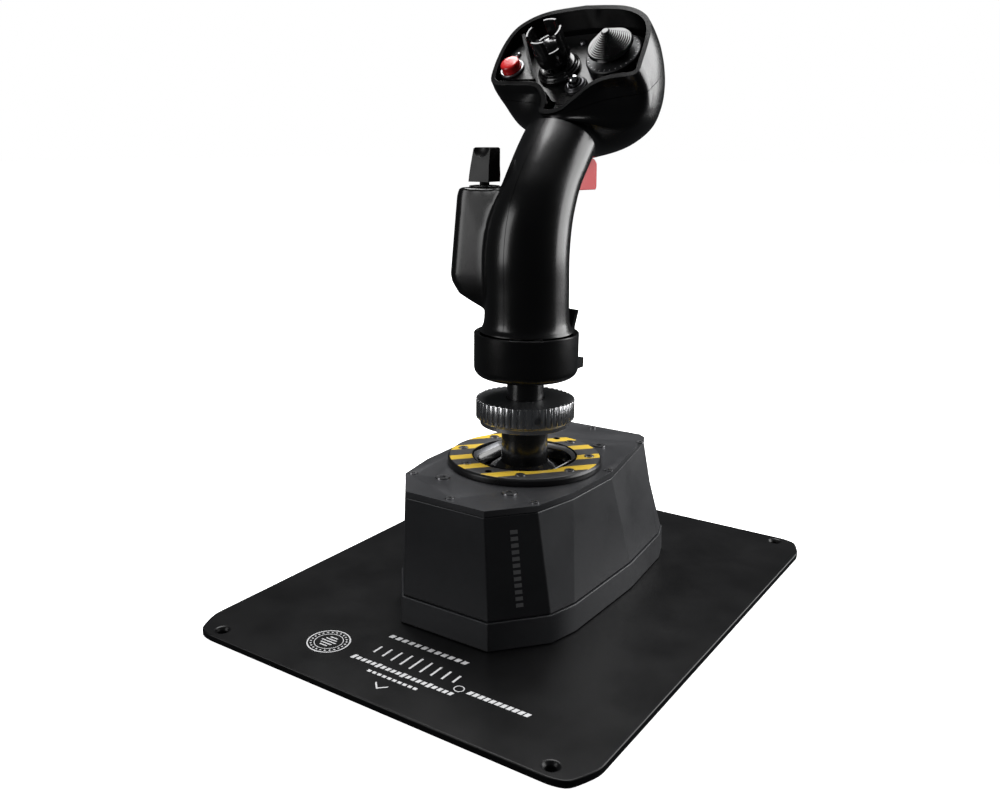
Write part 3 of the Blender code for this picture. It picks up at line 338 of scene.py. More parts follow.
def loft(name, loops, closed=False, caps=False):
    """Joins equal rings of points by quads, closed round on itself or capped."""
    shape = bmesh.new()
    rings = [[shape.verts.new(point) for point in loop] for loop in loops]
    pairs = list(zip(rings, rings[1:]))
    if closed:
        pairs.append((rings[-1], rings[0]))
    for lower, upper in pairs:
        count = len(lower)
        for index in range(count):
            after = (index + 1) % count
            shape.faces.new((lower[index], lower[after], upper[after], upper[index]))
    if caps:
        shape.faces.new(list(reversed(rings[0])))
        if len(rings) > 1:
            shape.faces.new(rings[-1])
    return bare_mesh(name, shape)


def turned(name, profile, centre=(0, 0, 0), steps=96):
    """Turns a profile of (radius, height) in millimetres about +Z. Ends on the axis are poles."""
    shape = bmesh.new()
    rows = []
    for radius, height in profile:
        if radius < 1e-6:
            rows.append([shape.verts.new((0, 0, height * MM))])
            continue
        angles = [2 * math.pi * index / steps for index in range(steps)]
        rows.append([shape.verts.new((radius * MM * math.cos(a), radius * MM * math.sin(a), height * MM))
                     for a in angles])
    ends_on_axis = len(rows[0]) == 1 and len(rows[-1]) == 1
    pairs = list(zip(rows, rows[1:]))
    if not ends_on_axis:
        pairs.append((rows[-1], rows[0]))
    for upper, lower in pairs:
        for index in range(steps):
            after = (index + 1) % steps
            corners = [upper[index % len(upper)], upper[after % len(upper)],
                       lower[after % len(lower)], lower[index % len(lower)]]
            corners = list(dict.fromkeys(corners))
            if len(corners) > 2:
                shape.faces.new(corners)
    mesh = bare_mesh(name, shape)
    mesh.transform(Matrix.Translation(centre))
    return mesh


def rounded(profile, radius, steps=4, closed=False):
    """Rounds the corners of a profile by short arcs that start a radius away from each corner."""
    result = []
    count = len(profile)
    for index, corner in enumerate(profile):
        if not closed and index in (0, count - 1):
            result.append(corner)
            continue
        corner = Vector(corner)
        before = Vector(profile[index - 1]) - corner
        after = Vector(profile[(index + 1) % count]) - corner
        reach = min(radius, before.length * 0.45, after.length * 0.45)
        start = corner + before.normalized() * reach
        end = corner + after.normalized() * reach
        for step in range(steps + 1):
            t = step / steps
            result.append(tuple(start * (1 - t) ** 2 + corner * 2 * t * (1 - t) + end * t ** 2))
    return result


def prism(name, outline, bottom, top):
    """A flat outline in metres, raised between two heights."""
    return loft(name, [[(x, y, bottom) for x, y in outline], [(x, y, top) for x, y in outline]], caps=True)


def rod(name, centre, axis, radius, length, sides=48, tip=None):
    """A cylinder or cone frustum about an axis, centred on a point."""
    shape = bmesh.new()
    tip = radius if tip is None else tip
    bmesh.ops.create_cone(shape, cap_ends=True, segments=sides, radius1=radius, radius2=tip, depth=length)
    turn = Vector((0, 0, 1)).rotation_difference(Vector(axis)).to_matrix().to_4x4()
    bmesh.ops.transform(shape, matrix=Matrix.Translation(centre) @ turn, verts=shape.verts)
    return bare_mesh(name, shape)


def block(name, low, high):
    """A box between two corners."""
    low, high = Vector(low), Vector(high)
    shape = bmesh.new()
    bmesh.ops.create_cube(shape, size=1.0)
    bmesh.ops.scale(shape, vec=high - low, verts=shape.verts)
    bmesh.ops.translate(shape, vec=(low + high) / 2, verts=shape.verts)
    return bare_mesh(name, shape)


def together(name, meshes):
    """Several meshes as one, keeping them apart as shells."""
    shape = bmesh.new()
    for mesh in meshes:
        shape.from_mesh(mesh)
    mesh = bpy.data.meshes.new(name)
    shape.to_mesh(mesh)
    shape.free()
    return mesh


def shade(thing, angle=38.0):
    """Shades a piece smooth, apart from edges sharper than an angle."""
    thing.data.shade_smooth()
    thing.data.set_sharp_from_angle(angle=math.radians(angle))


def piece(name, mesh, *materials, smooth=38.0):
    """An object for a mesh, smooth shaded up to an angle, with its finishes."""
    thing = bpy.data.objects.new(name, mesh)
    bpy.context.scene.collection.objects.link(thing)
    mesh.materials.clear()
    for material in materials:
        mesh.materials.append(material)
    shade(thing, smooth)
    return thing


def settle(thing):
    """Makes a piece's modifiers part of its mesh."""
    bpy.context.view_layer.update()
    depsgraph = bpy.context.evaluated_depsgraph_get()
    mesh = bpy.data.meshes.new_from_object(thing.evaluated_get(depsgraph))
    thing.modifiers.clear()
    thing.data = mesh
    return thing


def carve(thing, cutter_mesh, operation="DIFFERENCE", solver="EXACT", shells=False):
    """Cuts a mesh out of a piece, or joins one to it. A piece may be made of overlapping shells."""
    cutter = bpy.data.objects.new("cutter", cutter_mesh)
    bpy.context.scene.collection.objects.link(cutter)
    boolean = thing.modifiers.new("cut", "BOOLEAN")
    boolean.operation = operation
    boolean.solver = solver
    boolean.use_self = shells
    boolean.object = cutter
    settle(thing)
    bpy.data.objects.remove(cutter)
    return thing


def soften(thing, width, segments=3, angle=35.0):
    """Rounds a piece's sharp edges, and shades its flats evenly."""
    bevel = thing.modifiers.new("edges", "BEVEL")
    bevel.width = width
    bevel.segments = segments
    bevel.limit_method = "ANGLE"
    bevel.angle_limit = math.radians(angle)
    bevel.use_clamp_overlap = True
    bevel.harden_normals = True
    return settle(thing)


def done(thing, body, slot, *nodes):
    """Ties a finished piece to its body and hides the frame nodes it stands for. The slot is not used."""
    if nodes:
        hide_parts(*nodes)
    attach(thing, body)
    return thing


def merged_copy(node):
    """A copy of a frame part's mesh with its triangles joined into flat faces."""
    shape = bmesh.new()
    shape.from_mesh(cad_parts[node].data)
    bmesh.ops.remove_doubles(shape, verts=shape.verts, dist=1e-6)
    bmesh.ops.dissolve_limit(shape, angle_limit=math.radians(0.6), verts=shape.verts, edges=shape.edges)
    return bare_mesh(node, shape)


def softened_copy(node, material, width, segments, angle, body, slot):
    """A frame part as a piece of its own, with rounded edges."""
    thing = soften(piece(f"{node}_body", merged_copy(node), material), width, segments, angle)
    return done(thing, body, slot, node)


def circle(x, y, radius, count=48):
    """Points round a circle."""
    steps = [2 * math.pi * index / count for index in range(count)]
    return [(x + radius * math.cos(a), y + radius * math.sin(a)) for a in steps]


def mirrored(half, inset=0.0):
    """A whole outline in metres from its right half, drawn in by an inset."""
    right = [((x - inset) * MM, (y - math.copysign(inset, y)) * MM) for x, y in half]
    return right + [(-x, y) for x, y in reversed(right)]


# ---------- geometry nodes ----------

def new_tree(name, *numbers, counts=()):
    """An empty node tree that takes and gives geometry, with named inputs for numbers and counts."""
    tree = bpy.data.node_groups.new(name, "GeometryNodeTree")
    tree.interface.new_socket("Geometry", in_out="INPUT", socket_type="NodeSocketGeometry")
    for labels, kind in ((counts, "NodeSocketInt"), (numbers, "NodeSocketFloat")):
        for label in labels:
            tree.interface.new_socket(label, in_out="INPUT", socket_type=kind)
    tree.interface.new_socket("Geometry", in_out="OUTPUT", socket_type="NodeSocketGeometry")
    start = tree.nodes.new("NodeGroupInput")
    end = tree.nodes.new("NodeGroupOutput")
    return tree, start, end


def close_tree(tree, instances, end, material):
    """Ends a tree in Realize Instances and Set Material."""
    real = tree.nodes.new("GeometryNodeRealizeInstances")
    paint = tree.nodes.new("GeometryNodeSetMaterial")
    paint.inputs["Material"].default_value = material
    tree.links.new(instances, real.inputs["Geometry"])
    tree.links.new(real.outputs["Geometry"], paint.inputs["Geometry"])
    tree.links.new(paint.outputs["Geometry"], end.inputs["Geometry"])


def socket_head_tree(material):
    """A screw head with a hexagonal socket at each point: a cone frustum with a six-sided hole."""
    tree, start, end = new_tree("socket_heads", "Head radius", "Socket radius", "Height")
    links = tree.links
    head = tree.nodes.new("GeometryNodeMeshCone")
    head.inputs["Vertices"].default_value = 40
    narrow = maths(tree, "MULTIPLY", start.outputs["Head radius"], 0.94)
    wire(links, start, "Head radius", head, "Radius Bottom")
    links.new(narrow, head.inputs["Radius Top"])
    wire(links, start, "Height", head, "Depth")
    hole = tree.nodes.new("GeometryNodeMeshCylinder")
    hole.inputs["Vertices"].default_value = 6
    wire(links, start, "Socket radius", hole, "Radius")
    wire(links, start, "Height", hole, "Depth")
    raise_hole = tree.nodes.new("GeometryNodeTransform")
    lift = tree.nodes.new("ShaderNodeCombineXYZ")
    links.new(maths(tree, "MULTIPLY", start.outputs["Height"], 0.75), lift.inputs["Z"])
    wire(links, hole, "Mesh", raise_hole, "Geometry")
    wire(links, lift, "Vector", raise_hole, "Translation")
    cut = tree.nodes.new("GeometryNodeMeshBoolean")
    cut.operation = "DIFFERENCE"
    wire(links, head, "Mesh", cut, "Mesh 1")
    wire(links, raise_hole, "Geometry", cut, "Mesh 2")
    place = tree.nodes.new("GeometryNodeInstanceOnPoints")
    wire(links, start, "Geometry", place, "Points")
    wire(links, cut, "Mesh", place, "Instance")
    close_tree(tree, place.outputs["Instances"], end, material)
    return tree


def land_tree(material):
    """Upright lands round a turned ring: a block at each of a number of places on a circle."""
    tree, start, end = new_tree("knurl_lands", "Radius", "Width", "Depth", "Height", counts=["Count"])
    links = tree.links
    ring = tree.nodes.new("GeometryNodeMeshCircle")
    wire(links, start, "Count", ring, "Vertices")
    wire(links, start, "Radius", ring, "Radius")
    land = tree.nodes.new("GeometryNodeMeshCube")
    size = tree.nodes.new("ShaderNodeCombineXYZ")
    for label, axis in (("Depth", "X"), ("Width", "Y"), ("Height", "Z")):
        links.new(start.outputs[label], size.inputs[axis])
    wire(links, size, "Vector", land, "Size")
    place = tree.nodes.new("GeometryNodeInstanceOnPoints")
    face = tree.nodes.new("FunctionNodeAlignRotationToVector")
    face.axis = "X"
    face.pivot_axis = "Z"
    where = tree.nodes.new("GeometryNodeInputPosition")
    wire(links, where, "Position", face, "Vector")
    wire(links, ring, "Mesh", place, "Points")
    wire(links, land, "Mesh", place, "Instance")
    wire(links, face, "Rotation", place, "Rotation")
    close_tree(tree, place.outputs["Instances"], end, material)
    return tree


def grown(name, points, tree, values, material):
    """Runs a node tree on a set of points, and gives the plain result."""
    mesh = bpy.data.meshes.new(name)
    mesh.from_pydata([tuple(point) for point in points], [], [])
    thing = bpy.data.objects.new(name, mesh)
    bpy.context.scene.collection.objects.link(thing)
    nodes = thing.modifiers.new("grow", "NODES")
    nodes.node_group = tree
    for item in tree.interface.items_tree:
        if item.in_out == "INPUT" and item.name in values:
            nodes[item.identifier] = values[item.name]
    settle(thing)
    shape = bmesh.new()
    shape.from_mesh(thing.data)
    plain = bare_mesh(name, shape)
    bpy.data.objects.remove(thing)
    return piece(name, plain, material)


SOCKET_HEADS = socket_head_tree(STEEL)


# ---------- base ----------

def plate_outline():
    """The desk plate's outline: a rectangle with cut and rounded corners."""
    x, y, cut_x, cut_y = 113.1, 144.5, 9.1, 16.5
    corner = [(x, y - cut_y), (x - 0.35 * cut_x, y - 0.52 * cut_y), (x - 0.72 * cut_x, y - 0.12 * cut_y),
              (x - 1.5 * cut_x, y)]
    corner = rounded([(x, y - 2 * cut_y)] + corner + [(x - 3 * cut_x, y)], 4.0, 3)[1:-1]
    outline = corner + [(-px, py) for px, py in reversed(corner)]
    outline += [(-px, -py) for px, py in corner] + [(px, -py) for px, py in reversed(corner)]
    return [(px * MM, py * MM) for px, py in outline]


def make_plate():
    """The satin desk plate with countersunk corner holes."""
    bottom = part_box("desk_plate")[0].z
    plate = piece("desk_plate_body", prism("plate", plate_outline(), bottom, PLATE_TOP), PLATE_BLACK)
    holes = []
    for sx in (1, -1):
        for sy in (1, -1):
            x, y = sx * 96.0 * MM, sy * 137.5 * MM
            holes.append(turned("hole", [(0, 0.6), (4.3, 0.6), (2.3, -1.8), (2.3, -6), (0, -6)],
                                (x, y, PLATE_TOP), 48))
    carve(plate, together("holes", holes))
    soften(plate, 0.7 * MM, 3, 30.0)
    done(plate, "base", "black_plate", "desk_plate")


def tapered_shell(name, lower, upper, bottom, top, wall):
    """A wall between two right-half outlines, open at both ends."""
    loops = [[(x, y, height) for x, y in mirrored(outline, inset)]
             for outline, height, inset in ((lower, bottom, 0.0), (upper, top, 0.0),
                                            (upper, top, wall), (lower, bottom, wall))]
    return loft(name, loops, closed=True)


def make_housing():
    """The skirt, the faceted housing and the lid with its countersinks."""
    softened_copy("base_skirt", HOUSING_GREY, 0.5 * MM, 2, 35.0, "base", "grey_metal")
    low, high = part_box("base_housing")
    walls = tapered_shell("housing", HOUSING_FOOT, LID_OUTLINE, low.z, high.z, 2.8)
    housing = piece("base_housing_body", walls, HOUSING_GREY)
    soften(housing, 0.55 * MM, 3, 8.0)
    done(housing, "base", "grey_metal", "base_housing")
    lid = piece("lid_plate_body", merged_copy("lid_plate"), LID_GREY)
    seats = screw_seats(screw_places(LARGE_SCREWS), LID_TOP, 4.05, 2.4, 1.8, 48)
    seats += screw_seats(screw_places(SMALL_SCREWS, MIDDLE_SCREWS), LID_TOP, 2.45, 1.6, 1.2, 32)
    carve(lid, together("seats", seats))
    soften(lid, 0.45 * MM, 3)
    done(lid, "base", "grey_metal", "lid_plate")


def screw_seats(places, top, rim, root, depth, steps):
    """Cutters for countersunk seats: a cone from a rim radius to a root radius, and room above it."""
    profile = [(0, 0.5), (rim, 0.5), (rim, 0.0), (root, -depth), (0, -depth)]
    return [turned("seat", profile, (x, y, top), steps) for x, y in places]


def screw_places(pairs, singles=()):
    """Places in metres from right-hand ones, mirrored, and ones on the middle."""
    places = [(side * x * MM, y * MM) for side in (1, -1) for x, y in pairs]
    return places + [(x * MM, y * MM) for x, y in singles]


def screw_heads(name, places, top, radius, socket, height):
    """Socket heads just under a face, one at each place."""
    points = [(x, y, top - height / 2 - 0.1 * MM) for x, y in places]
    sizes = {"Head radius": radius, "Socket radius": socket, "Height": height}
    return grown(name, points, SOCKET_HEADS, sizes, STEEL)


def make_screws():
    """Countersunk socket screws in the lid and in the striped ring."""
    large = screw_places(LARGE_SCREWS)
    heads = screw_heads("lid_screws", large, LID_TOP, 3.7 * MM, 1.7 * MM, 1.5 * MM)
    shanks = [rod("shank", (x, y, LID_TOP - 5.8 * MM), (0, 0, 1), 2.0 * MM, 9 * MM, 20) for x, y in large]
    heads.data = together("lid_screws", [heads.data] + shanks)
    heads.data.materials.append(STEEL)
    shade(heads)
    done(heads, "base", "steel", "lid_screw_1", "lid_screw_2", "lid_screw_3", "lid_screw_4")
    small = screw_places(SMALL_SCREWS, MIDDLE_SCREWS)
    heads = screw_heads("lid_small_screws", small, LID_TOP, 2.2 * MM, 1.0 * MM, 1.0 * MM)
    done(heads, "base", "steel")
    heads = screw_heads("ring_screws", ring_screw_places(), RING_TOP, 2.55 * MM, 1.2 * MM, 1.0 * MM)
    done(heads, "base", "steel")


def ring_screw_places():
    """The eight screws of the striped ring, mirrored left to right."""
    turns = [math.radians(angle) for angle in RING_SCREW_ANGLES]
    return [(side * RING_SCREW_RADIUS * math.cos(turn), AXIS_Y + RING_SCREW_RADIUS * math.sin(turn))
            for turn in turns for side in (1, -1)]


def paint_faces(thing, index, test):
    """Gives the faces that pass a test another of the piece's finishes."""
    for face in thing.data.polygons:
        if test(face):
            face.material_index = index


def make_ring():
    """The striped ring, with seats for its screws and two open holes."""
    top = RING_TOP / MM
    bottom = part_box("striped_ring")[0].z / MM
    outer, inner = RING_OUTER / MM, RING_INNER / MM
    profile = [(inner, bottom), (inner, top), (outer - 1.2, top), (outer, top - 1.2), (outer, bottom)]
    profile = rounded(profile, 0.25, 2, closed=True)
    ring = piece("striped_ring_body", turned("ring", profile, AXIS, 160), STRIPES, RING_BLACK)
    seats = screw_seats(ring_screw_places(), RING_TOP, 2.75, 1.7, 1.3, 32)
    seats += [rod("hole", (0, AXIS_Y + side * 35.0 * MM, RING_TOP), (0, 0, 1), 1.9 * MM, 6 * MM, 32)
              for side in (1, -1)]
    carve(ring, together("seats", seats))
    paint_faces(ring, 1, lambda face: face.normal.z < 0.8 or face.center.z < RING_TOP - 0.2 * MM)
    shade(ring)
    done(ring, "base", "stripe", "striped_ring")


def rounded_square(half, radius, per_corner):
    """Points of a square with round corners, centred on zero."""
    points = []
    for quarter, (sx, sy) in enumerate([(1, 1), (-1, 1), (-1, -1), (1, -1)]):
        for index in range(per_corner):
            angle = math.pi / 2 * (quarter + index / (per_corner - 1))
            points.append((sx * (half - radius) + radius * math.cos(angle),
                           sy * (half - radius) + radius * math.sin(angle)))
    return points


def make_gate():
    """The gate: a bright chamfer round a square opening with dark walls."""
    square = rounded_square(GATE_HALF, GATE_CORNER, 24)
    sharp = rounded_square(GATE_HALF - 0.4 * MM, GATE_CORNER - 0.4 * MM, 24)
    angles = [math.atan2(y, x) for x, y in square]
    lid_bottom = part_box("lid_plate")[0].z
    shelf = LID_TOP + GAP

    def round_loop(radius, height):
        return [(radius * math.cos(a), radius * math.sin(a) + AXIS_Y, height) for a in angles]

    def square_loop(points, height):
        return [(x, y + AXIS_Y, height) for x, y in points]

    rim = RING_INNER - GAP
    wall = 26.9 * MM
    loops = [round_loop(radius, height) for radius, height in (
        (wall, lid_bottom), (wall, shelf), (rim, shelf), (rim, RING_TOP - 0.5 * MM),
        (rim - 0.35 * MM, RING_TOP - 0.15 * MM), (rim - 0.7 * MM, RING_TOP - 0.35 * MM),
        (25.9 * MM, RING_TOP - 1.6 * MM), (25.5 * MM, RING_TOP - 2.1 * MM))]
    loops += [square_loop(square, LID_TOP), square_loop(sharp, lid_bottom)]
    gate = piece("gate_bowl_body", loft("gate", loops, closed=True), GLOSS_BLACK, GATE_GREY, smooth=30.0)
    count = len(angles)
    for index, face in enumerate(gate.data.polygons):
        row = index // count
        face.material_index = 1 if row in (5, 6) else 0
    done(gate, "base", "gloss_black", "gate_bowl")


def make_print():
    """Generic printed marks on the plate: bars, rings and a chevron."""
    marks = []
    low, high = PLATE_TOP + 0.01 * MM, PLATE_TOP + 0.05 * MM

    def mark(outline):
        marks.append(prism("mark", [(px * MM, py * MM) for px, py in outline], low, high))

    def bar(x, y, width, depth, slant=0.0):
        shift = slant * depth / 2
        side, half = width / 2, depth / 2
        mark([(x - side - shift, y - half), (x + side - shift, y - half),
              (x + side + shift, y + half), (x - side + shift, y + half)])

    def ring(x, y, outer, inner):
        loops = [[(px, py, z) for px, py in circle(x * MM, y * MM, radius * MM, 64)]
                 for radius, z in ((outer, low), (outer, high), (inner, high), (inner, low))]
        marks.append(loft("ring", loops, closed=True))

    for index in range(12):
        bar(-21.0 + 4.0 * index, -93.0, 2.6, 2.9, 0.25)
    for index in range(9):
        tall = 8.4 - abs(index - 4) * 1.1
        bar(-19.0 + 5.9 * index, -107.0, 1.1, tall + 2.5, 0.0)
    for index in range(20):
        bar(-24.0 + 3.0 * index, -118.5, 2.0, 2.6 if index % 5 else 3.6, 0.2)
    for index in range(10):
        bar(-9.5 + 3.0 * index, -124.5, 2.0, 1.8)
    for index in range(11):
        bar(40.0 + 3.0 * index, -113.0, 2.2, 2.9, 0.3)
    ring(-44.0, -115.0, 11.0, 10.3)
    ring(-44.0, -115.0, 7.4, 7.0)
    ring(33.8, -113.0, 2.6, 2.1)
    for index in range(24):
        turn = 2 * math.pi * index / 24
        reach = 8.9
        bar(-44.0 + reach * math.cos(turn), -115.0 + reach * math.sin(turn), 0.9, 0.9)
    for index in range(-2, 3):
        bar(-44.0, -115.0 + 2.0 * index, 9.0 - 2.2 * abs(index), 0.8)
    for side in (1, -1):
        end = 3.0 + side * 3.6
        mark([(3.0, -134.6), (end, -131.0), (end, -129.9), (3.0, -133.5)])
    done(piece("plate_print", together("print", marks), PRINT_GREY), "base", "silver")


def make_facet_marks():
    """A column of bars on the housing's front right facet."""
    low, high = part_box("base_housing")
    foot = [Vector((x * MM, y * MM, low.z)) for x, y in HOUSING_FOOT[:2]]
    head = [Vector((x * MM, y * MM, high.z)) for x, y in LID_OUTLINE[:2]]
    along = (foot[1] - foot[0]).normalized()
    start = (foot[0] + foot[1]) / 2
    upward = ((head[0] + head[1]) / 2 - start).normalized()
    outward = along.cross(upward).normalized()
    if outward.y > 0:
        outward = -outward
    marks = []
    for index in range(12):
        centre = start + upward * ((7.0 + 3.45 * index) * MM) + along * (0.6 * MM)
        half_width, half_height = 1.9 * MM, 1.05 * MM
        corners = [centre + along * (sx * half_width) + upward * (sy * half_height)
                   for sx, sy in ((-1, -1), (1, -1), (1, 1), (-1, 1))]
        marks.append(loft("mark", [[corner + outward * (0.01 * MM) for corner in corners],
                                   [corner + outward * (0.04 * MM) for corner in corners]], caps=True))
    done(piece("housing_marks", together("marks", marks), PRINT_DIM), "base", "silver")



# ---------- stick ----------

def make_shaft():
    """The shaft and the dome that closes the gate."""
    top, step, bottom = 136.0, 98.7, 60.3
    profile = rounded([(0, top), (NECK_RADIUS, top), (NECK_RADIUS, step), (SHAFT_RADIUS, step),
                       (SHAFT_RADIUS, bottom), (0, bottom)], 0.5, 3)
    shaft = piece("stick_shaft_body", turned("shaft", profile, AXIS, 96), GLOSS_BLACK)
    done(shaft, "stick", "gloss_black", "stick_shaft")
    bore = 12.7
    angles = [math.radians(26.5 + index * 39.0 / 24) for index in range(25)]
    outer = [(DOME_OUTER * math.sin(a), DOME_OUTER * math.cos(a)) for a in angles]
    inner = [(DOME_INNER * math.sin(a), DOME_INNER * math.cos(a)) for a in reversed(angles)]
    outer[0] = (bore, math.sqrt(DOME_OUTER ** 2 - bore ** 2))
    inner[-1] = (bore, math.sqrt(DOME_INNER ** 2 - bore ** 2))
    dome = piece("dome_cover_body", turned("dome", outer + inner, PIVOT, 128), GLOSS_BLACK)
    done(dome, "stick", "gloss_black", "dome_cover")


def make_nut():
    """The locking ring: a dark face, bright knurled lands, a bevelled foot and two holes."""
    top, bottom = NUT_TOP / MM, NUT_BOTTOM / MM
    profile = rounded([(10.1, bottom), (10.1, top), (25.1, top), (25.1, bottom + 3.4), (24.0, bottom + 2.4),
                       (24.0, bottom)], 0.3, 2, closed=True)
    core = turned("core", profile, AXIS, 3 * LAND_COUNT)
    height = 10.4 * MM
    lands = grown("lands", [(0, 0, 0)], land_tree(SILVER),
                  {"Count": LAND_COUNT, "Radius": NUT_RADIUS - LAND_DEPTH / 2, "Width": 2.5 * MM,
                   "Depth": LAND_DEPTH, "Height": height}, SILVER)
    bevel = lands.modifiers.new("edges", "BEVEL")
    bevel.width = 0.45 * MM
    bevel.segments = 2
    settle(lands)
    mesh = lands.data
    bpy.data.objects.remove(lands)
    mesh.transform(Matrix.Translation((0, AXIS_Y, NUT_TOP - height / 2)))
    nut = piece("locking_ring_body", together("nut", [core, mesh]), SILVER, NUT_GREY, HOLE_BLACK)
    facing = math.radians(-44.0)
    outward = Vector((math.cos(facing), math.sin(facing), 0))
    side_place = AXIS + outward * 26 * MM + Vector((0, 0, NUT_TOP - 6.2 * MM))
    side_hole = rod("hole", side_place, outward, 2.0 * MM, 12 * MM, 32)
    top_place = AXIS + outward * 12.6 * MM + Vector((0, 0, NUT_TOP))
    top_hole = rod("hole", top_place, (0, 0, 1), 1.5 * MM, 6 * MM, 32)
    carve(nut, together("holes", [side_hole, top_hole]), shells=True)
    paint_faces(nut, 1, lambda face: face.normal.z > 0.9 and face.center.z > NUT_TOP - 0.4 * MM)
    shade(nut, 30.0)
    done(nut, "locking_ring", "silver", "knurled_ring")


def make_collar():
    """The collar with its thin lip, round foot and lugs, and the paddle lever."""
    arc = [math.radians(90 * index / 12) for index in range(13)]
    turn = 5.5
    low, corner = COLLAR_BOTTOM + turn, COLLAR_RADIUS - turn
    profile = [(24.5, 147.6), (25.6, 147.6), (26.2, 147.9), (26.5, COLLAR_TOP), (27.1, COLLAR_TOP),
               (COLLAR_RADIUS, 148.3)]
    profile += [(corner + turn * math.cos(a), low - turn * math.sin(a)) for a in arc]
    profile += [(10.1, COLLAR_BOTTOM), (10.1, 129.0), (22.0, 129.0), (24.5, low)]
    collar = piece("grip_collar_body", turned("collar", profile, AXIS, 144), GRIP_BLACK)
    for side in (1, -1):
        low_x, high_x = sorted((side * 13.8 * MM, side * 16.4 * MM))
        carve(collar, block("lug", (low_x, 12 * MM, 125.6 * MM), (high_x, 29 * MM, 131.0 * MM)), "UNION")
    shade(collar, 35.0)
    done(collar, "stick", "grip_black", "grip_collar")
    softened_copy("paddle_lever", GRIP_BLACK, 0.35 * MM, 2, 40.0, "paddle", "grip_black")


def smooth_row(rows, at):
    """The values of a table at a place between its rows, along a smooth curve."""
    place = 0
    while place < len(rows) - 2 and at > rows[place + 1][0]:
        place += 1
    p1, p2 = rows[place], rows[place + 1]
    p0 = rows[max(place - 1, 0)]
    p3 = rows[min(place + 2, len(rows) - 1)]
    span = p2[0] - p1[0]
    t = (at - p1[0]) / span
    values = []
    for a, b, c, d in zip(p0[1:], p1[1:], p2[1:], p3[1:]):
        before = (c - a) / (p2[0] - p0[0]) * span
        after = (d - b) / (p3[0] - p1[0]) * span
        values.append((2 * t ** 3 - 3 * t ** 2 + 1) * b + (t ** 3 - 2 * t ** 2 + t) * before
                      + (3 * t ** 2 - 2 * t ** 3) * c + (t ** 3 - t ** 2) * after)
    return values


def column_mesh(inset, bottom, top, steps=70, sides=112):
    """The grip column as a smooth loft, drawn in by an inset."""
    loops = []
    for step in range(steps + 1):
        height = bottom + (top - bottom) * step / steps
        cx, cy, half_width, half_depth = smooth_row(COLUMN, height)
        wide, deep = half_width - inset, half_depth - inset
        angles = [2 * math.pi * index / sides for index in range(sides)]
        loops.append([((cx + wide * math.cos(a)) * MM, (cy + deep * math.sin(a)) * MM, height * MM)
                      for a in angles])
    return loft("column", loops, caps=True)


def rest_mesh():
    """The thumb rest: a rounded block that grows out of the left side of the column."""
    heights = [(REST_BOTTOM - 4, 24.0), (REST_BOTTOM + 1, 13.0), (REST_BOTTOM + 6, 4.5),
               (REST_BOTTOM + 12, 0.8), (REST_BOTTOM + 16, 0.0), (REST_TOP - 4, 3.6),
               (REST_TOP - 0.8, 4.6), (REST_TOP, 6.0)]
    inner_x = -8.0
    count = 10
    loops = []
    for height, shrink in heights:
        left = REST_LEFT + shrink
        radius = min(REST_ROUND, (inner_x - left) / 2)
        back = REST_BACK + 0.25 * shrink
        front = REST_FRONT - 0.25 * shrink
        loop = [(inner_x, back + 3)]
        for first, y in ((270, back + radius), (180, front - radius)):
            for index in range(count):
                angle = math.radians(first - 90 * index / (count - 1))
                loop.append((left + radius + radius * math.cos(angle), y + radius * math.sin(angle)))
        loop.append((inner_x, front))
        loops.append([(x * MM, y * MM, height * MM) for x, y in loop])
    return loft("thumb_rest", loops, caps=True)


def beyond(point, normal):
    """A large block on the far side of a plane, for cutting."""
    size = 400 * MM
    mesh = block("beyond", (-size, -size, 0), (size, size, size))
    turn = Vector((0, 0, 1)).rotation_difference(normal).to_matrix().to_4x4()
    mesh.transform(Matrix.Translation(point) @ turn)
    return mesh


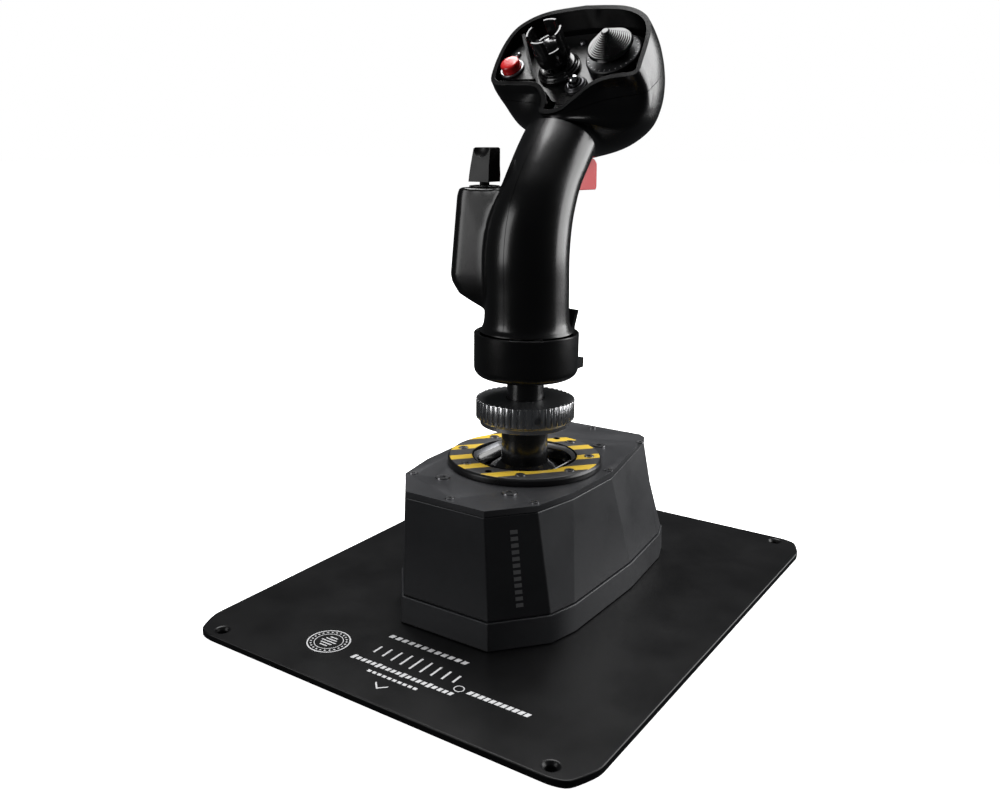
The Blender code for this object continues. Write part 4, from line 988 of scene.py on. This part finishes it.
def make_grip():
    """The two grip shells with the blended thumb rest, parted down the middle of the back."""
    blend = piece("grip", column_mesh(0.0, 144.0, 276.0), GRIP_BLACK)
    carve(blend, rest_mesh(), "UNION")
    remesh = blend.modifiers.new("even", "REMESH")
    remesh.mode = "VOXEL"
    remesh.voxel_size = BLEND_GRAIN
    settle(blend)
    group = blend.vertex_groups.new(name="root")
    everywhere = blend.vertex_groups.new(name="all")
    for vertex in blend.data.vertices:
        x, y, z = (value / MM for value in vertex.co)
        everywhere.add([vertex.index], 1.0, "REPLACE")
        near = 1.0 - min(abs(x - ROOT_X) / ROOT_REACH, 1.0)
        if near > 0 and z < REST_TOP + 12:
            group.add([vertex.index], min(near * 2, 1.0), "REPLACE")
    for name, repeats in (("root", 45), ("all", 6)):
        smooth = blend.modifiers.new(name, "SMOOTH")
        smooth.factor = 0.5
        smooth.iterations = repeats
        smooth.vertex_group = name
    settle(blend)
    angle = math.radians(FAN[0][0])
    neck_normal = Vector((0, -math.sin(angle), math.cos(angle)))
    carve(blend, beyond(HINGE - neck_normal * GAP, neck_normal), solver="MANIFOLD")
    carve(blend, beyond(Vector((0, 0, 149.2 * MM)), Vector((0, 0, -1))), solver="MANIFOLD")
    carve(blend, column_mesh(GRIP_WALL, 145.0, 275.0, 60, 64), solver="MANIFOLD")
    carve(blend, block("slot", SLOT_LOW, SLOT_HIGH), solver="MANIFOLD")
    well = rod("well", SELECT_PIVOT + Vector((0, 0, 6 * MM)), (0, 0, 1), 5.5 * MM, 24 * MM, 32)
    carve(blend, well, solver="MANIFOLD")
    for side, word in ((1, "right"), (-1, "left")):
        shell = piece(f"grip_{word}_body", blend.data.copy(), GRIP_BLACK)
        carve(shell, beyond(Vector((side * GAP / 2, 0, 0)), Vector((-side, 0, 0))), solver="MANIFOLD")
        shade(shell, 40.0)
        done(shell, "stick", "grip_black", f"grip_{word}_shell")
    bpy.data.objects.remove(blend)


# ---------- head ----------

def resample(path, count):
    """Even steps along a smooth path through its points."""
    dense = []
    padded = [path[0]] + path + [path[-1]]
    for p0, p1, p2, p3 in zip(padded, padded[1:], padded[2:], padded[3:]):
        for index in range(16):
            t = index / 16
            dense.append(tuple(0.5 * (2 * b + (c - a) * t + (2 * a - 5 * b + 4 * c - d) * t * t
                                      + (3 * b - a - 3 * c + d) * t ** 3)
                               for a, b, c, d in zip(p0, p1, p2, p3)))
    dense.append(path[-1])
    lengths = [0.0]
    for start, end in zip(dense, dense[1:]):
        lengths.append(lengths[-1] + math.dist(start, end))
    points = []
    place = 0
    for index in range(count):
        target = lengths[-1] * index / count
        while lengths[place + 1] < target:
            place += 1
        share = (target - lengths[place]) / max(lengths[place + 1] - lengths[place], 1e-9)
        points.append(tuple(a + (b - a) * share for a, b in zip(dense[place], dense[place + 1])))
    return points


RIGHT_SIDE = resample(SHIELD_RIGHT, HEAD_POINTS // 2)
LEFT_SIDE = resample(list(reversed(SHIELD_LEFT)), HEAD_POINTS // 2)


def head_outline(angle, inset=0.0):
    """The head's outline at an angle of the fan, in millimetres along u and v, drawn in by an inset."""
    length, half_width, sideways = smooth_row(FAN, angle)
    share = min(max((angle - FAN[0][0]) / (40.0 - FAN[0][0]), 0.0), 1.0) ** 1.5
    points = []
    for index, (su, sv) in enumerate(RIGHT_SIDE + LEFT_SIDE):
        turn = -math.pi / 2 + 2 * math.pi * index / HEAD_POINTS
        eu = math.cos(turn)
        ev = 0.5 + 0.5 * math.sin(turn)
        u = sideways + (eu + (su - eu) * share) * half_width
        v = FAN_START + (ev + (sv - ev) * share) * (length - FAN_START)
        points.append(Vector((u, v)))
    if not inset:
        return points
    drawn = []
    for index, point in enumerate(points):
        along = points[(index + 1) % HEAD_POINTS] - points[index - 1]
        drawn.append(point + Vector((-along.y, along.x)).normalized() * inset)
    return drawn


def fan_loop(angle, inset=0.0, shift=0.0):
    """A head outline stood up at its angle of the fan."""
    turn = math.radians(angle)
    normal = Vector((0, -math.sin(turn), math.cos(turn)))
    ahead = Vector((0, math.cos(turn), math.sin(turn)))
    return [HINGE + normal * shift + (Vector((1, 0, 0)) * p.x + ahead * p.y) * MM
            for p in head_outline(angle, inset)]


def head_shell(name, first, last, steps, shift):
    """A shell between two angles of the fan, with outer and inner walls."""
    angles = [first + (last - first) * index / steps for index in range(steps + 1)]
    outer = [fan_loop(angle, 0.0, shift) for angle in angles]
    inner = [fan_loop(angle, HEAD_WALL, shift) for angle in reversed(angles)]
    return piece(name, loft(name, outer + inner, closed=True), GRIP_BLACK)


def panel_point(u, v, n):
    """A place on the switch panel, from millimetres along, up and out of it."""
    slope = math.sqrt(0.5)
    return HINGE + Vector((u, slope * (v - n), slope * (v + n))) * MM


def on_panel(mesh, place, n=0.0):
    """Moves a mesh made about zero, standing on +Z, to a place on the switch panel."""
    mesh.transform(Matrix.Translation(panel_point(place[0], place[1], n)) @ PANEL_TURN)
    return mesh


def make_head():
    """The cover and bezel shells, the switch panel, and the pocket beside it."""
    cover = head_shell("head_cover_body", FAN[0][0], SEAM_ANGLE, 36, 0.0)
    carve(cover, block("slot", SLOT_LOW, COVER_SLOT_HIGH), solver="MANIFOLD")
    soften(cover, 0.28 * MM, 3, 50.0)
    done(cover, "stick", "grip_black", "head_cover")
    bezel = head_shell("head_bezel_body", SEAM_ANGLE, 55.0, 16, GAP)
    soften(bezel, 0.6 * MM, 3, 50.0)
    done(bezel, "stick", "grip_black", "head_bezel")
    softened_copy("switch_panel", PANEL_BLACK, 0.2 * MM, 2, 40.0, "stick", "gloss_black")
    softened_copy("side_pocket", PANEL_BLACK, 0.3 * MM, 2, 40.0, "stick", "gloss_black")
    ribs = []
    for index in range(9):
        rib = block("rib", (-1.9 * MM, -0.32 * MM, 0), (1.9 * MM, 0.32 * MM, 0.35 * MM))
        ribs.append(on_panel(rib, (0.5, 10.5 + 1.25 * index), PANEL_N))
    rib_piece = piece("panel_ribs", together("ribs", ribs), PANEL_BLACK)
    soften(rib_piece, 0.1 * MM, 2)
    done(rib_piece, "stick", "gloss_black")


def panel_piece(name, profile, place, materials, body, slot, *nodes, steps=72, smooth=38.0):
    """A turned piece that stands on the switch panel."""
    mesh = on_panel(turned(name, profile, steps=steps), place)
    thing = piece(name, mesh, *materials, smooth=smooth)
    return done(thing, body, slot, *nodes)


def make_castle():
    """The castle hat: stepped rings, a glossy cup, a dome and four curved prongs."""
    floor = PANEL_N + 0.3
    rings = rounded([(5.2, floor), (5.2, -0.6), (7.4, 1.5), (9.6, 1.5), (9.9, 0.2), (10.6, -0.2),
                     (10.9, -0.9), (11.8, -1.2), (11.8, floor)], 0.25, 3, closed=True)
    panel_piece("castle_rings", rings, CASTLE, [GLOSS_BLACK], "stick", "gloss_black", "castle_base_ring")
    cup = [(0, 16.8), (1.6, 16.7), (3.0, 16.3), (4.2, 15.6), (5.2, 14.6), (5.8, 13.6), (6.4, 13.3),
           (7.1, 13.8), (7.4, 14.3), (8.6, 14.3), (9.0, 13.9), (9.0, 6.6), (8.7, 5.0), (7.6, 3.8), (3.0, 3.4),
           (3.0, -6.4), (0, -6.4)]
    parts = [turned("cup", cup, steps=72)]
    for quarter in range(4):
        middle = math.pi / 2 * quarter
        half = math.radians(24.0)
        steps = 8
        loops = []
        for index in range(steps + 1):
            angle = middle - half + 2 * half * index / steps
            section = [(7.2, 13.0), (8.9, 13.0), (9.3, 18.0), (9.8, 22.9), (8.5, 22.9), (7.8, 18.0)]
            loops.append([(r * MM * math.cos(angle), r * MM * math.sin(angle), z * MM) for r, z in section])
        parts.append(loft("prong", loops, caps=True))
    castle = piece("castle_hat_body", on_panel(together("castle", parts), CASTLE), GLOSS_BLACK)
    soften(castle, 0.3 * MM, 3, 40.0)
    done(castle, "castle", "gloss_black", "castle_hat")


def make_trim():
    """The trim hat: a cone of fine concentric ridges on a marked dial."""
    floor = PANEL_N + 0.3
    dial = rounded([(5.2, floor), (5.2, 1.0), (8.0, 3.0), (14.2, 3.0), (14.8, 2.4), (14.8, floor)], 0.2, 2,
                   closed=True)
    thing = panel_piece("trim_dial_body", dial, TRIM, [DIAL_GREY, PANEL_BLACK], "stick", "dial_grey",
                        "trim_dial", steps=96)
    top = panel_point(*TRIM, 2.6)
    outward = (PANEL_TURN @ Vector((0, 0, 1))).normalized()
    paint_faces(thing, 1, lambda face: (face.center - top).dot(outward) < 0.0)
    profile = [(0, 17.0), (1.7, 16.9), (2.2, 16.4)]
    ridges = 11
    start, end = (2.3, 15.7), (11.6, 8.2)
    for index in range(ridges):
        low = index / ridges
        r0, z0 = start[0] + (end[0] - start[0]) * low, start[1] + (end[1] - start[1]) * low
        step_r, step_z = (end[0] - start[0]) / ridges, (end[1] - start[1]) / ridges
        profile += [(r0, z0 - 0.2), (r0 + 0.06 * step_r, z0 + 0.22), (r0 + 0.64 * step_r, z0 + 0.22),
                    (r0 + 0.78 * step_r, z0 + step_z - 0.2)]
    profile += [(11.7, 8.2), (12.0, 7.8), (11.6, 7.5), (12.0, 7.2), (11.6, 6.8), (11.0, 6.5), (2.5, 6.1),
                (2.5, -6.4), (0, -6.4)]
    panel_piece("trim_hat_body", profile, TRIM, [HAT_BLACK], "trim", "grip_black", "trim_hat", steps=112,
                smooth=24.0)
    ticks = []
    for index in range(28):
        angle = 2 * math.pi * index / 28
        long_tick = index % 7 == 0
        tick = block("tick", ((12.3 if long_tick else 12.9) * MM, -0.16 * MM, 2.99 * MM),
                     (13.8 * MM, 0.16 * MM, 3.03 * MM))
        tick.transform(Matrix.Rotation(angle, 4, "Z"))
        ticks.append(on_panel(tick, TRIM))
    done(piece("trim_dial_ticks", together("ticks", ticks), PRINT_GREY), "stick", "silver")


def make_buttons():
    """The event button, the red button, their bezels and two dome screws."""
    floor = PANEL_N + 0.3
    bezel = rounded([(3.6, floor), (3.6, -0.2), (4.3, 0.1), (4.9, -0.2), (5.2, -0.8), (5.9, -1.1),
                     (6.2, -1.8), (6.2, floor)], 0.2, 3, closed=True)
    panel_piece("event_bezel_body", bezel, EVENT, [DARK_STEEL], "stick", "steel", "event_bezel")
    button = [(0, 4.3), (0.9, 4.2), (1.8, 3.9), (2.4, 3.4), (2.8, 2.6), (2.9, 1.6), (2.9, -8.0), (0, -8.0)]
    panel_piece("event_button_body", button, EVENT, [CHROME], "event_button", "silver", "event_button")
    rim = SHELF_N + 0.3
    bezel = rounded([(5.6, rim), (5.6, rim + 1.1), (6.5, rim + 1.1), (6.8, rim + 0.5), (6.8, rim)], 0.15, 3,
                    closed=True)
    panel_piece("red_button_bezel_body", bezel, RED, [STEEL], "stick", "steel", "red_button_bezel")
    button = [(0, 9.4), (2.5, 9.38), (4.2, 9.3), (4.8, 9.1), (5.1, 8.7), (5.2, 8.2), (5.2, 2.2), (0, 2.2)]
    panel_piece("red_button_body", button, RED, [RED_GLOSS], "red_button", "red", "red_button")
    for name, place, base in (("panel_screw", SCREW_PANEL, floor), ("pocket_screw", SCREW_SHELF, rim)):
        head = [(0, base + 0.5), (0.6, base + 0.5), (0.7, base + 1.15), (1.0, base + 1.1), (1.5, base + 0.8),
                (1.9, base + 0.35), (2.0, base), (1.1, base), (1.1, base - 4), (0, base - 4)]
        panel_piece(f"{name}_body", head, place, [STEEL], "stick", "steel", name, steps=40)


def make_trigger():
    """The trigger, with softened edges."""
    softened_copy("trigger", TRIGGER_RED, 0.6 * MM, 3, 30.0, "trigger", "red")


def make_select():
    """The select lever: a bevelled block with a thumb scoop, on a washer."""
    lever = piece("select_lever_body", merged_copy("select_lever"), PLATE_BLACK)
    low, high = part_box("select_lever")
    ball = bmesh.new()
    bmesh.ops.create_uvsphere(ball, u_segments=48, v_segments=32, radius=7.5 * MM)
    centre = Vector(((low.x + high.x) / 2 + 0.8 * MM, low.y - 4.2 * MM, high.z + 0.5 * MM))
    bmesh.ops.translate(ball, vec=centre, verts=ball.verts)
    carve(lever, bare_mesh("scoop", ball))
    soften(lever, 0.5 * MM, 3, 30.0)
    done(lever, "select", "gloss_black", "select_lever")
    profile = rounded([(7.1, 0.3), (7.1, 0.9), (7.8, 0.9), (8.1, 0.5), (8.1, 0.3)], 0.1, 2, closed=True)
    boot = rounded([(4.5, 0.2), (4.5, 1.1), (6.0, 1.1), (6.9, 0.7), (6.9, 0.2)], 0.2, 3, closed=True)
    place = (SELECT_PIVOT.x, SELECT_PIVOT.y, REST_TOP * MM)
    boot = turned("boot", boot, place, 72)
    done(piece("select_boot", boot, RUBBER), "stick", "gloss_black")
    washer = piece("select_washer_body", turned("washer", profile, place, 72), GLOSS_BLACK)
    done(washer, "stick", "gloss_black", "select_washer")


def finish_inner_parts():
    """Finishes on the frame's own parts that stay in sight or inside."""
    finishes = {
        "rubber_pad": RUBBER, "chassis": DARK_STEEL, "usb_socket": STEEL, "wire_tube": RUBBER,
        "base_circuit_board": BOARD_GREEN, "grip_circuit_board": BOARD_GREEN, "pitch_sensor": BOARD_GREEN,
    }
    for name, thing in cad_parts.items():
        if thing.hide_render:
            continue
        material = finishes.get(name, STEEL)
        for index in range(len(thing.material_slots)):
            thing.material_slots[index].material = material


for make in (make_camera, make_studio, make_plate, make_housing, make_screws, make_ring, make_gate,
             make_print, make_facet_marks, make_shaft, make_nut, make_collar, make_grip, make_head,
             make_castle, make_trim, make_buttons, make_trigger, make_select, finish_inner_parts):
    make()
